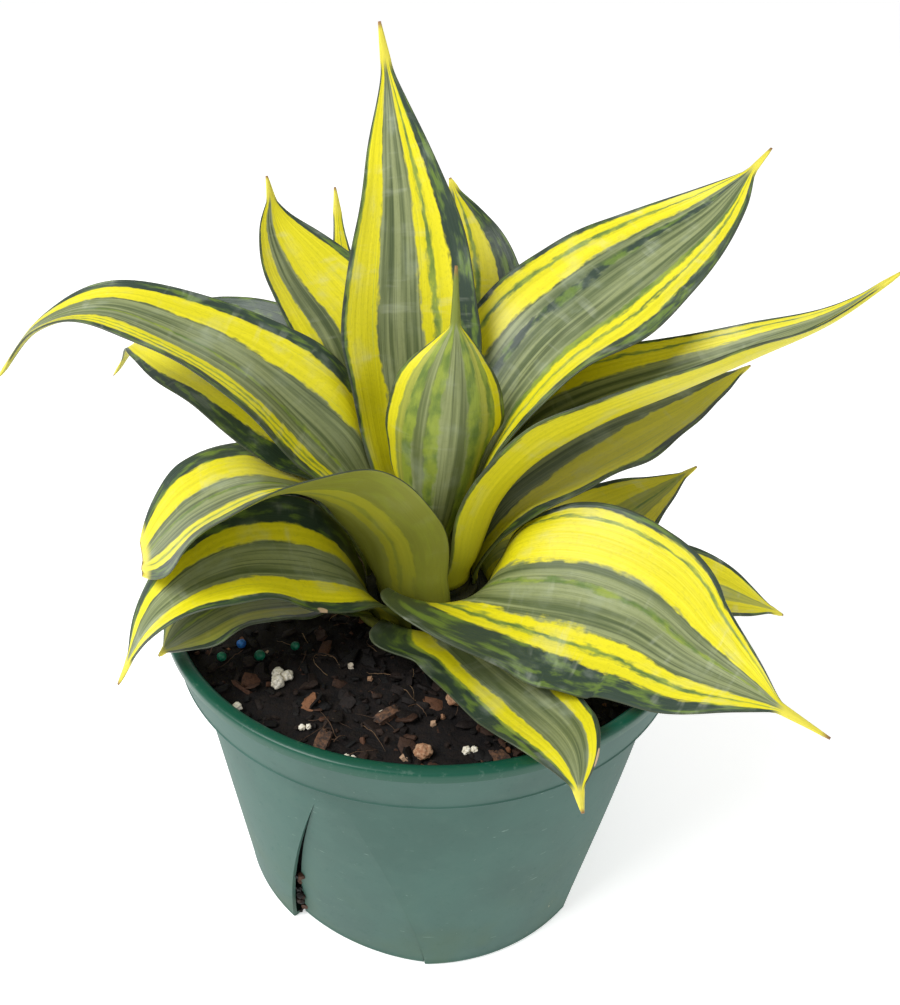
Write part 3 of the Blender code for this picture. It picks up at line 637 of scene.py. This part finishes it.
def build_pot():
    """The turned pot with its four pressed panels, each slit open along both sides."""
    rows, reach = pot_profile()
    on_panel, on_wall = 26, 44
    columns = []
    for k in range(PANELS):
        middle = PANEL_BEARING + k * 360 / PANELS
        columns += [(middle, True, n / on_panel) for n in range(on_panel + 1)]
        columns += [(middle, False, n / on_wall) for n in range(on_wall + 1)]
    verts = []
    for j, (radius, height) in enumerate(rows):
        fade = panel_fade(height) if j < reach else 0.0
        depth = panel_depth(height) if j < reach else 0.0
        half = float(panel_half(height))
        gap = math.degrees(SLIT * fade / BASE_RADIUS)
        for middle, pressed, share in columns:
            if pressed:
                # pressed in deep along its open side, and almost flush along the other
                flat = 0.7 * fade * math.cos((share - 0.5) * math.pi)
                bearing = middle - half + gap + (2 * half - gap * (1 + SHUT_SIDE)) * share
                out = radius - depth * (1 - (1 - SHUT_SIDE) * share) - flat
            else:
                bearing, out = middle + half + (360 / PANELS - 2 * half) * share, radius
            angle = math.radians(bearing)
            verts.append((out * math.cos(angle), out * math.sin(angle), height))
    wide = len(columns)
    shut = on_panel + on_wall + 2
    faces = []
    for j in range(len(rows) - 1):
        for i in range(wide):
            if i % shut in (on_panel, shut - 1):
                continue
            a, b = j * wide + i, j * wide + (i + 1) % wide
            faces.append((a, a + wide, b + wide, b))
    mesh = bpy.data.meshes.new("pot_shell")
    mesh.from_pydata([tuple(c * MM for c in v) for v in verts], [], faces)
    bm = bmesh.new()
    bm.from_mesh(mesh)
    bmesh.ops.remove_doubles(bm, verts=bm.verts, dist=0.00005)
    drains = []
    for k in range(PANELS):
        angle = math.radians(PANEL_BEARING + k * 360 / PANELS)
        drains.append(Vector((math.cos(angle), math.sin(angle), 0)) * DRAIN_REACH * MM)
    holes = [face for face in bm.faces if any(
        (face.calc_center_median() - drain).length < DRAIN_RADIUS * MM for drain in drains)]
    bmesh.ops.delete(bm, geom=holes, context="FACES")
    for vert in bm.verts:
        for drain in drains:
            away = vert.co - drain
            if vert.is_boundary and away.length < DRAIN_RADIUS * 1.3 * MM:
                vert.co = drain + away.normalized() * DRAIN_RADIUS * MM
    bmesh.ops.delete(bm, geom=[v for v in bm.verts if not v.link_faces], context="VERTS")
    bm.to_mesh(mesh)
    bm.free()
    pot = link("pot_shell", mesh)
    shell = pot.modifiers.new("wall", "SOLIDIFY")
    shell.thickness, shell.offset, shell.use_even_offset = WALL * MM, -1.0, True
    view = bpy.context.evaluated_depsgraph_get()
    pot.data = bpy.data.meshes.new_from_object(pot.evaluated_get(view))
    pot.modifiers.clear()
    shade(pot.data, 38)
    return pot


def ground(x, y):
    """The uneven top of the soil: lower at the wall, lumpy, with finer crumbs."""
    reach = math.hypot(x, y)
    level = SOIL_LEVEL - 1.2 * float(smooth((reach - 24) / 40))
    level += 1.1 * noise.noise(Vector((x / 9, y / 9, 3)))
    level += 0.9 * abs(noise.noise(Vector((x / 3.2, y / 3.2, 7))))
    level += 0.45 * noise.noise(Vector((x / 1.1, y / 1.1, 11)))
    return level


def build_soil():
    """The root ball: it fills the pot up to just under the lip."""
    steps = 220
    inner = RIM_RADIUS - BAND_TAPER * 0.45 - WALL - 0.75
    side = [(0.0, WALL + 0.35), (FLOOR_RADIUS - 4, WALL + 0.35)]
    for z in (WALL + 1.2, 8, 16, 26, 38, 50, 62, 72, 80, SHOULDER - 0.4):
        side.append((float(wall_radius(z) - panel_depth(z)) - WALL * 1.06 - 1.4, z))
    side += [(inner - 4.2, SHOULDER + 1.2), (inner - 1.2, SHOULDER + 3.0),
             (inner, SHOULDER + 5.0)]
    top = inner * (1 - np.linspace(0, 1, 84) ** 1.15)
    verts, faces = [], []
    for j in range(len(side) + len(top)):
        for i in range(steps):
            angle = i * math.tau / steps
            if j < len(side):
                reach, z = side[j]
                reach += 0.5 * noise.noise(Vector((math.cos(angle) * 9, math.sin(angle) * 9, z)))
                reach = max(reach, 0.02)
            else:
                reach = max(top[j - len(side)], 0.02)
                z = ground(reach * math.cos(angle), reach * math.sin(angle))
            verts.append((reach * math.cos(angle) * MM, reach * math.sin(angle) * MM, z * MM))
    for j in range(len(side) + len(top) - 1):
        for i in range(steps):
            a, b = j * steps + i, j * steps + (i + 1) % steps
            faces.append((a, b, b + steps, a + steps))
    last = (len(side) + len(top) - 1) * steps
    faces.append(tuple(range(steps))[::-1])
    faces.append(tuple(range(last, last + steps)))
    mesh = bpy.data.meshes.new("soil_ball")
    mesh.from_pydata(verts, [], faces)
    shade(mesh)
    return link("soil_ball", mesh)


def heap(name, made, lots):
    """One mesh from many small pieces, each with its own number from 0 to 1 in a UV map."""
    verts, faces, lot = [], [], []
    for (points, cells), value in zip(made, lots):
        start = len(verts)
        verts += [tuple(p * MM) for p in points]
        faces += [tuple(start + n for n in cell) for cell in cells]
        lot += [value] * sum(len(cell) for cell in cells)
    mesh = bpy.data.meshes.new(name)
    mesh.from_pydata(verts, [], faces)
    layer = mesh.uv_layers.new(name="lot")
    layer.data.foreach_set("uv", np.stack([lot, lot], 1).ravel())
    shade(mesh, 50)
    return link(name, mesh)


def grain_shape():
    """A cube of 3 x 3 x 3 points without its middle, wound outwards."""
    bm = bmesh.new()
    bmesh.ops.create_cube(bm, size=2.0)
    bmesh.ops.subdivide_edges(bm, edges=bm.edges, cuts=1, use_grid_fill=True)
    bm.verts.ensure_lookup_table()
    points = np.array([v.co for v in bm.verts])
    points /= np.linalg.norm(points, axis=1, keepdims=True) ** 0.6
    cells = [[v.index for v in face.verts] for face in bm.faces]
    bm.free()
    return points, cells


def turn(heading, pitch, roll):
    return np.array(Matrix.Rotation(heading, 3, "Z") @ Matrix.Rotation(pitch, 3, "Y")
                    @ Matrix.Rotation(roll, 3, "X"))


def scatter(dice, low=LITTER_INNER, high=LITTER_OUTER):
    reach = math.sqrt(dice.uniform(low ** 2, high ** 2))
    angle = dice.uniform(0, math.tau)
    return reach * math.cos(angle), reach * math.sin(angle)


def build_litter():
    """Bark crumbs, pale grains and root fibres that lie in the soil."""
    dice, rough = random.Random(11), np.random.default_rng(11)
    shape, cells = grain_shape()
    crumbs, lots = [], []
    for _ in range(CRUMBS):
        x, y = scatter(dice)
        long = dice.choice((0.7, 0.9, 1.2, 1.5, 1.9, 2.6, 3.4)) * dice.uniform(0.7, 1.1)
        size = np.array((long, long * dice.uniform(0.3, 0.8), dice.uniform(0.25, 0.75)))
        points = shape * size * (1 + 0.28 * rough.standard_normal(shape.shape) * 0.6)
        points = points @ turn(dice.uniform(0, math.tau), dice.gauss(0, 0.35),
                               dice.gauss(0, 0.35)).T
        crumbs.append((points + (x, y, ground(x, y) + dice.uniform(0.0, 0.6)), cells))
        lots.append(dice.random())
    for _ in range(SPILLED_CRUMBS):
        # crumbs that worked out through the slits of the panels
        z = 2 + 26 * dice.random() ** 1.7
        bearing = PANEL_BEARING + dice.randrange(PANELS) * 360 / PANELS - float(
            panel_half(z)) + dice.uniform(0.2, 1.7)
        reach = float(wall_radius(z) - panel_depth(z) * dice.uniform(0.25, 1.0)) - 1.0
        angle = math.radians(bearing)
        points = shape * dice.uniform(0.5, 1.1) * (1 + 0.2 * rough.standard_normal(shape.shape))
        crumbs.append((points + (reach * math.cos(angle), reach * math.sin(angle), z), cells))
        lots.append(dice.random())
    bits = heap("bark_crumbs", crumbs, lots)
    grains, lots = [], []
    for _ in range(PALE_GRAINS):
        x, y = scatter(dice)
        points = shape * dice.uniform(0.35, 1.0) * (1 + 0.25 * rough.standard_normal(shape.shape))
        grains.append((points + (x, y, ground(x, y) + 0.3), cells))
        lots.append(dice.random())
    pale = heap("pale_grains", grains, lots)
    fibres, lots = [], []
    for _ in range(FIBRES):
        x, y = scatter(dice, 24, 68)
        heading, bend = dice.uniform(0, math.tau), dice.gauss(0, 0.12)
        long, wide = dice.uniform(3, 12), dice.uniform(0.07, 0.16)
        rings, path = [], []
        for k in range(FIBRE_STEPS + 1):
            rise = 0.35 + 0.9 * math.sin(k / FIBRE_STEPS * 3.1)
            path.append(np.array((x, y, ground(x, y) + rise)))
            x += math.cos(heading) * long / FIBRE_STEPS
            y += math.sin(heading) * long / FIBRE_STEPS
            heading += bend + dice.gauss(0, 0.12)
        side = np.array((-math.sin(heading), math.cos(heading), 0))
        for k, spot in enumerate(path):
            slim = wide * (1 - 0.7 * (k / FIBRE_STEPS) ** 2)
            rings += [spot + slim * (side * math.cos(a) + np.array((0, 0, 1)) * math.sin(a))
                      for a in np.arange(FIBRE_SIDES) * math.tau / FIBRE_SIDES]
        sides = [(r + i, r + (i + 1) % FIBRE_SIDES, r + FIBRE_SIDES + (i + 1) % FIBRE_SIDES,
                  r + FIBRE_SIDES + i)
                 for r in range(0, FIBRE_STEPS * FIBRE_SIDES, FIBRE_SIDES)
                 for i in range(FIBRE_SIDES)]
        sides += [tuple(range(FIBRE_SIDES))[::-1],
                  tuple(FIBRE_STEPS * FIBRE_SIDES + i for i in range(FIBRE_SIDES))]
        if math.hypot(x, y) < LITTER_OUTER:
            fibres.append((rings, sides))
            lots.append(dice.random())
    return bits, pale, heap("root_fibres", fibres, lots)


def blob(name, x, y, size, squash, rough, seed, lobes=1):
    """A worn grain of one or more lobes, lying on the soil."""
    dice = random.Random(seed)
    bm = bmesh.new()
    for n in range(lobes):
        made = bmesh.ops.create_icosphere(bm, subdivisions=4, radius=1.0)["verts"]
        scale = size / 2 * (1 if lobes == 1 else dice.uniform(0.42, 0.62))
        away = size * 0.27 if lobes > 1 else 0
        angle = n * math.tau / lobes + dice.uniform(-0.3, 0.3)
        shift = Vector((math.cos(angle) * away, math.sin(angle) * away, dice.uniform(0, 0.7)))
        for vert in made:
            way = vert.co.normalized()
            swell = noise.noise(way * 1.7 + Vector((seed + n, 0, 0)))
            pits = noise.noise(way * 6 + Vector((seed, n, 0)))
            vert.co = way * scale * (1 + rough * swell + rough * 0.3 * pits)
            vert.co.z *= squash
            vert.co += shift
    low = min(vert.co.z for vert in bm.verts)
    place = Vector((x, y, ground(x, y) + 0.1 - low - 0.25 * size / 5))
    for vert in bm.verts:
        vert.co = (vert.co + place) * MM
    return from_bmesh(name, bm)


def splinter(name, x, y, size, heading, seed):
    """A flat, layered flake of bark with torn ends."""
    rough = np.random.default_rng(seed)
    bm = bmesh.new()
    bmesh.ops.create_cube(bm, size=1.0)
    bmesh.ops.subdivide_edges(bm, edges=bm.edges, cuts=7, use_grid_fill=True)
    for vert in bm.verts:
        x0, y0, z0 = vert.co
        torn = 1 + 0.3 * noise.noise(Vector((y0 * 7, z0 * 3, seed)))
        vert.co = Vector((x0 * size * torn * (1 if y0 > 0 else 0.85),
                          y0 * size * 0.42 * (1 - 0.5 * abs(x0) ** 2),
                          z0 * 2.0 * (1 - 0.6 * abs(2 * x0) ** 3)))
        vert.co.z += 0.25 * noise.noise(Vector((x0 * 6, y0 * 22, seed + 5)))
    tilt = Matrix.Rotation(math.radians(heading), 4, "Z") @ Matrix.Rotation(
        float(rough.uniform(-0.2, 0.2)), 4, "Y")
    place = Vector((x, y, ground(x, y) + 0.9))
    for vert in bm.verts:
        vert.co = (tilt @ vert.co + place) * MM
    return from_bmesh(name, bm, 45)


# ---------------------------------------------------------------- finishes

class Number:
    """A shader value that takes part in Python arithmetic."""

    def __init__(self, finish, socket):
        self.finish, self.socket = finish, socket

    def __add__(self, other):
        return self.finish.maths("ADD", self, other)

    def __sub__(self, other):
        return self.finish.maths("SUBTRACT", self, other)

    def __rsub__(self, other):
        return self.finish.maths("SUBTRACT", other, self)

    def __mul__(self, other):
        return self.finish.maths("MULTIPLY", self, other)

    def __truediv__(self, other):
        return self.finish.maths("DIVIDE", self, other)

    def __pow__(self, other):
        return self.finish.maths("POWER", self, other)

    __radd__, __rmul__ = __add__, __mul__


class Finish:
    """A material on one Principled shader, and the nodes that feed it."""

    def __init__(self, name, **fixed):
        self.material = bpy.data.materials.new(name)
        self.material.use_nodes = True
        self.tree = self.material.node_tree
        self.shader = self.tree.nodes["Principled BSDF"]
        for socket, value in fixed.items():
            self.shader.inputs[socket.replace("_", " ")].default_value = value

    def node(self, kind, settings=None, values=None, out=0):
        made = self.tree.nodes.new("ShaderNode" + kind)
        for key, value in (settings or {}).items():
            if key == "stops":
                ramp = made.color_ramp
                while len(ramp.elements) < len(value):
                    ramp.elements.new(0.5)
                for element, (place, colour) in zip(ramp.elements, value):
                    element.position, element.color = place, (*colour, 1.0)
            else:
                setattr(made, key, value)
        for key, value in (values or {}).items():
            if isinstance(value, Number):
                self.tree.links.new(value.socket, made.inputs[key])
            else:
                made.inputs[key].default_value = value
        return Number(self, made.outputs[out])

    def maths(self, operation, a, b=0.0):
        return self.node("Math", {"operation": operation}, {0: a, 1: b})

    def split(self, vector):
        node = self.node("SeparateXYZ", values={0: vector})
        return [Number(self, socket) for socket in node.socket.node.outputs]

    def join(self, x, y, z):
        return self.node("CombineXYZ", values={0: x, 1: y, 2: z})

    def blend(self, share, a, b):
        """Colour a where share is 0 and b where it is 1."""
        a, b = ((*c, 1.0) if isinstance(c, tuple) else c for c in (a, b))
        return self.node("Mix", {"data_type": "RGBA", "clamp_factor": True},
                         {0: share, 6: a, 7: b}, out=2)

    def grain(self, place, scale, detail=2.0, rough=0.5):
        """Cloudy noise from 0 to 1."""
        return self.node("TexNoise", values={
            "Vector": place, "Scale": scale, "Detail": detail, "Roughness": rough})

    def over(self, value, low, high):
        """0 below low, 1 above high, smooth between."""
        return self.node("MapRange", {"interpolation_type": "SMOOTHSTEP"}, {
            "Value": value, "From Min": low, "From Max": high})

    def millimetres(self):
        """The place on the piece: x, y, z and all three together, in millimetres."""
        x, y, z = (part / MM for part in self.split(self.node("NewGeometry")))
        return x, y, z, self.join(x, y, z)

    def feed(self, **sockets):
        for socket, value in sockets.items():
            self.tree.links.new(value.socket, self.shader.inputs[socket.replace("_", " ")])

    def bump(self, height, depth, strength=1.0):
        """A surface that stands depth millimetres proud where height is 1."""
        self.feed(Normal=self.node("Bump", values={
            "Height": height, "Distance": depth * MM, "Strength": strength}))


def leaf_finish(leaf_name, leaf, length, seed):
    """Lengthwise bands of grey-green, yellow and mottled dark green under a waxy skin."""
    f = Finish(leaf_name + "_skin", Roughness=0.4, Specular_IOR_Level=0.35, Coat_Weight=0.05,
               Coat_Roughness=0.25)
    x, along, _ = f.split(f.node("UVMap", {"uv_map": "blade"}))
    below = f.maths("GREATER_THAN", x, 1.5)
    across = x - below * 2.0
    wide, long = leaf["width"], length

    def veins(fine, stretch, shift=0.0, detail=2.0):
        """Noise drawn out along the leaf: fine and stretch are sizes in millimetres."""
        return f.grain(f.join(across * (wide / fine), along * (long / stretch), seed + shift),
                       1.0, detail)

    wander = veins(14, 60, 3.0) - 0.5
    fringe = veins(1.6, 11, 5.0, 3.0) - 0.5
    ragged = f.grain(f.join(across * (wide / 1.4), along * (long / 2.6), seed + 31), 1.0, 3) - 0.5
    place = across + wander * 0.06 + fringe * 0.055 + ragged * 0.045
    streak = veins(1.5, 60, 7.0, 3.0)
    hair = veins(0.6, 45, 9.0)
    blotch = veins(3.2, 7, 11.0, 4.0)
    cloud = veins(9, 22, 13.0, 3.0)

    dark = f.blend(f.over(blotch, 0.47, 0.66), (0.026, 0.048, 0.03), (0.12, 0.19, 0.03))
    dark = f.blend(f.over(hair, 0.5, 0.75) * 0.35, dark, (0.02, 0.045, 0.028))
    grey = f.blend(f.over(streak, 0.36, 0.64), (0.09, 0.12, 0.045), (0.26, 0.295, 0.13))
    grey = f.blend(f.over(cloud, 0.5, 0.75) * 0.5, grey, (0.33, 0.37, 0.2))
    grey = f.blend(f.over(hair, 0.56, 0.68) * 0.55, grey, (0.045, 0.065, 0.025))
    yellow = f.blend(f.over(streak, 0.3, 0.7), (0.78, 0.7, 0.012), (0.66, 0.6, 0.006))
    yellow = f.blend(f.over(hair, 0.64, 0.74) * 0.5, yellow, (0.4, 0.45, 0.05))
    olive = f.blend(f.over(streak, 0.35, 0.65), (0.42, 0.42, 0.06), (0.28, 0.31, 0.05))
    line = f.blend(f.over(blotch, 0.35, 0.6), (0.1, 0.17, 0.03), (0.25, 0.32, 0.04))
    kinds = {"dark": dark, "grey": grey, "yellow": yellow, "olive": olive, "line": line}

    colour = None
    for band in BANDS.get(leaf_name, PLAIN_BANDS).split(", "):
        kind, base, point = band.split()
        base, point = float(base), float(point)
        if colour is None:
            colour = kinds[kind]
        else:
            gone = place - (along * (point - base) + base)
            colour = f.blend(f.over(gone, -0.011, 0.011), colour, kinds[kind])

    speckle = f.grain(f.join(across * (wide / 0.7), along * (long / 1.0), seed + 37), 1.0, 2)
    colour = f.blend(f.over(speckle, 0.5, 0.72) * 0.1, colour, (0.05, 0.075, 0.02))
    bloom = f.over(veins(7, 9, 41.0, 4.0), 0.5, 0.7) * f.over(cloud, 0.35, 0.6)
    colour = f.blend(bloom * 0.2, colour, (0.46, 0.53, 0.44))
    margin = f.over(f.maths("ABSOLUTE", across - 0.5), 0.488, 0.497)
    colour = f.blend(margin * 0.7, colour, (0.05, 0.06, 0.03))
    chalk = f.over(veins(16, 3.0, 17.0, 3.0), 0.56, 0.72) * f.over(cloud, 0.4, 0.6)
    colour = f.blend(chalk * 0.16, colour, (0.62, 0.66, 0.55))
    young = 1.0 - f.over(along + wander * 0.1, 0.03, 0.26)
    colour = f.blend(young * leaf.get("young", 0.5), colour, (0.3, 0.33, 0.03))
    spike = 1 - leaf["spike"] / length
    tip = f.over(along, spike - 0.02, spike + 0.01)
    colour = f.blend(tip, colour, leaf.get("tip", (0.72, 0.64, 0.06)))
    if "scar" in leaf:
        off, far, size = leaf["scar"]
        reach = ((across - off) * wide) ** 2 + ((along - far) * long) ** 2
        scar = 1.0 - f.over(reach + ragged * size * 3, size, size * 1.8)
        colour = f.blend(scar, colour, (0.5, 0.36, 0.22))
    dry = f.over(along, spike + (1 - spike) * 0.75, 1.0)
    colour = f.blend(dry, colour, (0.3, 0.15, 0.06))
    colour = f.blend(below * leaf.get("under", 0.4), colour, (0.3, 0.31, 0.035))
    f.feed(Base_Color=colour)
    f.feed(Roughness=0.36 + cloud * 0.12 + chalk * 0.15 + below * 0.1)
    f.bump(veins(1.1, 40, 21.0, 3.0) * 0.7 + veins(5, 16, 23.0) * 0.6, 0.35, 0.6)
    return f.material


def pot_finish():
    """Matte moulded plastic, glossier on the lip, with scuffs, dust and lime."""
    f = Finish("green_plastic", Roughness=0.5, Specular_IOR_Level=0.32)
    x, y, z, spot = f.millimetres()
    cloud, mottle = f.grain(spot, 1 / 28, 4), f.grain(spot, 1 / 5.0, 5, 0.65)
    colour = f.blend(f.over(cloud, 0.3, 0.7), (0.027, 0.082, 0.064), (0.04, 0.108, 0.086))
    colour = f.blend(f.over(mottle, 0.45, 0.8) * 0.3, colour, (0.06, 0.125, 0.1))
    low = (1.0 - f.over(z, 4, 55)) * f.over(f.grain(spot, 1 / 16, 3), 0.4, 0.75)
    colour = f.blend(low * 0.4, colour, (0.045, 0.09, 0.036))
    wide = f.grain(f.join(x / 6, y / 6, z / 0.8), 1.0, 2)
    scratch = f.over(wide, 0.705, 0.73) * f.over(mottle, 0.5, 0.6)
    speck = f.over(f.grain(spot, 1 / 1.1, 1), 0.78, 0.82)
    lime = f.over(f.grain(f.join(x / 2.5, y / 2.5, z / 7), 1.0, 4), 0.7, 0.73) * (
        1.0 - f.over(z, 20, 60)) * f.over(x, 30, 45)
    colour = f.blend(scratch * 0.4, colour, (0.25, 0.36, 0.32))
    colour = f.blend(speck * 0.25, colour, (0.35, 0.4, 0.34))
    colour = f.blend(lime * 0.8, colour, (0.62, 0.55, 0.38))
    lip = f.over(z, POT_HEIGHT - LIP_DROP - 0.3, POT_HEIGHT - LIP_DROP + 0.1)
    colour = f.blend(lip, colour, (0.006, 0.07, 0.042))
    dust = f.over(f.grain(spot, 1 / 2.2, 5, 0.7), 0.56, 0.7)
    colour = f.blend(lip * dust * 0.3, colour, (0.12, 0.2, 0.16))
    f.feed(Base_Color=colour)
    f.feed(Roughness=0.52 + cloud * 0.1 - lip * 0.26 + dust * 0.08)
    turned = f.grain(f.join(x / 30, y / 30, z / 0.5), 1.0, 2)
    f.bump(f.grain(spot, 1 / 0.5, 3) * 0.5 + turned * 0.25 - scratch * 1.2, 0.06, 0.5)
    return f.material


def soil_finish():
    """Damp peat: near black, with brown crumbs and a few rusty flecks."""
    f = Finish("damp_peat", Roughness=0.85, Specular_IOR_Level=0.25)
    spot = f.millimetres()[3]
    crumb, fine = f.grain(spot, 1 / 2.2, 6, 0.7), f.grain(spot, 1 / 0.6, 3, 0.6)
    colour = f.blend(f.over(crumb, 0.35, 0.72), (0.003, 0.0025, 0.003), (0.016, 0.011, 0.009))
    colour = f.blend(f.over(fine, 0.6, 0.78) * 0.5, colour, (0.035, 0.023, 0.017))
    rust = f.over(f.grain(spot, 1 / 1.6, 2), 0.7, 0.76)
    colour = f.blend(rust * 0.4, colour, (0.12, 0.05, 0.025))
    f.feed(Base_Color=colour, Roughness=0.62 + f.over(crumb, 0.3, 0.6) * 0.3)
    f.bump(crumb * 1.2 + fine * 0.5, 0.7, 0.9)
    return f.material


def lot_finish(name, stops, rough, grit):
    """Each small piece takes its own shade along the stops."""
    f = Finish(name, Roughness=rough, Specular_IOR_Level=0.25)
    lot = f.split(f.node("UVMap", {"uv_map": "lot"}))[0]
    x, y, z, spot = f.millimetres()
    colour = f.node("ValToRGB", {"stops": stops}, {"Fac": lot})
    worn = f.grain(spot, grit, 5, 0.65)
    colour = f.blend(f.over(worn, 0.45, 0.75) * 0.6, colour, stops[0][1])
    f.feed(Base_Color=colour)
    f.bump(worn + f.grain(f.join(x / 2, y * 2, z), grit, 2) * 0.6, 0.35, 0.9)
    return f.material


def grain_finish(name, colour, other, rough, grit, depth):
    f = Finish(name, Roughness=rough)
    spot = f.millimetres()[3]
    worn, pits = f.grain(spot, grit, 5, 0.6), f.grain(spot, grit * 3, 3)
    f.feed(Base_Color=f.blend(f.over(worn * 0.7 + pits * 0.3, 0.42, 0.66), colour, other))
    f.bump(worn + pits * 0.5, depth, 0.8)
    return f.material


def crown_shade_finish():
    """Old leaf bases round the root stock, with their own lines, darkened to near black: painted
    deep shade.
    """
    f = Finish("root_stock_painted_shade", Roughness=0.75)
    x, y, z, spot = f.millimetres()
    worn, lines = f.grain(spot, 1 / 4.0, 4), f.grain(f.join(x * 1.2, y * 1.2, z / 6), 1.0, 3)
    # both colours are near black: painted deep shade over the leaf bases' own tone
    colour = f.blend(f.over(worn, 0.35, 0.65), (0.012, 0.016, 0.006), (0.035, 0.035, 0.014))
    colour = f.blend(f.over(lines, 0.55, 0.7) * 0.5, colour, (0.03, 0.02, 0.012))
    f.feed(Base_Color=colour)
    f.bump(lines + worn * 0.6, 0.4, 0.8)
    return f.material


# ---------------------------------------------------------------- camera, light and floor

camera = link("camera", bpy.data.cameras.new("camera"))
bpy.context.scene.camera = camera
LOOK_DOWN = math.radians(32.05)
TILT = math.radians(2.2)
AIM = Vector((4.7, 0, 124.8))
DISTANCE = 264.5
camera.data.lens = 34.03
camera.data.clip_start = 0.01
backwards = Vector((0, -math.cos(LOOK_DOWN), math.sin(LOOK_DOWN)))
level = Vector((1, 0, 0))
upright = backwards.cross(level)
sideways = level * math.cos(TILT) + upright * math.sin(TILT)
above = upright * math.cos(TILT) - level * math.sin(TILT)
camera.matrix_world = Matrix.Translation((AIM + backwards * DISTANCE) * MM) @ Matrix(
    (sideways, above, backwards)).transposed().to_4x4()

world = bpy.data.worlds.new("studio")
bpy.context.scene.world = world
world.use_nodes = True
world.node_tree.nodes["Background"].inputs["Color"].default_value = (1.0, 1.0, 1.0, 1.0)
world.node_tree.nodes["Background"].inputs["Strength"].default_value = 0.52
bpy.context.scene.view_settings.view_transform = "Standard"


def soft_light(name, place, aim, size, power):
    lamp = bpy.data.lights.new(name, "AREA")
    lamp.size, lamp.energy = size, power
    obj = link(name, lamp)
    obj.location = place
    obj.rotation_euler = (Vector(aim) - Vector(place)).to_track_quat("-Z", "Y").to_euler()


soft_light("key", (-0.62, -0.4, 0.95), (0, 0, 0.1), 0.6, 12.0)
soft_light("fill", (0.8, -0.5, 0.6), (0, 0, 0.1), 0.8, 1.4)

floor_mesh = bpy.data.meshes.new("floor")
floor_mesh.from_pydata([(-60, -60, 0), (60, -60, 0), (60, 60, 0), (-60, 60, 0)], [], [(0, 1, 2, 3)])
floor = link("floor", floor_mesh)
paper = Finish("white_paper", Base_Color=(0.95, 0.95, 0.95, 1), Roughness=0.9,
               Emission_Color=(1, 1, 1, 1), Emission_Strength=0.5)
floor_mesh.materials.append(paper.material)


# ---------------------------------------------------------------- build

def place(obj, material, slot, *nodes):
    """One piece in its finish, on the plant's body, in the stead of the CAD nodes named."""
    obj.data.materials.clear()
    obj.data.materials.append(material)
    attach(obj, "root")
    if nodes:
        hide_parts(*nodes)


for seed, (name, (blade, length)) in enumerate(grow_leaves().items()):
    place(blade, leaf_finish(name, LEAVES[name], length, seed * 7.3), "leaf_skin", name)
place(build_pot(), pot_finish(), "pot_plastic", "pot")
place(build_soil(), soil_finish(), "potting_mix", "soil")
crumbs, pale_grains, fibres = build_litter()
place(crumbs, lot_finish("bark_crumb", [
    (0.0, (0.003, 0.003, 0.003)), (0.6, (0.012, 0.008, 0.007)), (0.86, (0.03, 0.017, 0.012)),
    (0.96, (0.09, 0.04, 0.022)), (1.0, (0.25, 0.11, 0.05))], 0.7, 1.2), "potting_mix")
place(pale_grains, lot_finish("pale_grain", [
    (0.0, (0.3, 0.16, 0.09)), (0.4, (0.42, 0.25, 0.15)), (0.7, (0.62, 0.5, 0.36)),
    (1.0, (0.8, 0.74, 0.62))], 0.85, 1.5), "perlite")
place(fibres, lot_finish("root_fibre", [
    (0.0, (0.05, 0.03, 0.02)), (0.6, (0.14, 0.08, 0.045)), (1.0, (0.36, 0.24, 0.13))], 0.7, 2.0),
    "potting_mix")
white = grain_finish("puffed_perlite", (0.72, 0.66, 0.52), (0.9, 0.87, 0.78), 0.9, 0.9, 0.4)
for n, (x, y, size) in enumerate(PERLITE, 1):
    place(blob("perlite_grain_%d" % n, x, y, size, 0.85, 0.35, n, 3 if size > 5 else 2),
          white, "perlite", "perlite_%d" % n)
green = grain_finish("green_feed", (0.0, 0.12, 0.06), (0.012, 0.24, 0.13), 0.45, 0.8, 0.1)
blue = grain_finish("blue_feed", (0.01, 0.1, 0.4), (0.03, 0.22, 0.62), 0.45, 0.8, 0.1)
for n, (x, y, size) in enumerate(PRILLS, 1):
    finish, slot = (blue, "prill_blue") if n == BLUE_PRILL else (green, "prill_green")
    place(blob("feed_prill_%d" % n, x, y, size * 0.82, 0.95, 0.06, n + 20), finish, slot,
          "prill_%d" % n)
sand = grain_finish("rusty_stone", (0.3, 0.14, 0.07), (0.55, 0.36, 0.22), 0.85, 0.8, 0.4)
for n, (x, y, size) in enumerate(STONES, 1):
    place(blob("grit_%d" % n, x, y, size, 0.75, 0.3, n + 40), sand, "stone", "stone_%d" % n)
flake = grain_finish("bark_flake", (0.035, 0.02, 0.014), (0.17, 0.08, 0.04), 0.8, 0.7, 0.5)
for n, (x, y, size) in enumerate(BARK, 1):
    place(splinter("bark_flake_%d" % n, x, y, size, 40 * n, n + 60), flake, "bark",
          "bark_%d" % n)
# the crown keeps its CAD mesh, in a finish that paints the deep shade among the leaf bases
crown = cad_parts["crown"]
crown.data.materials.clear()
crown.data.materials.append(crown_shade_finish())
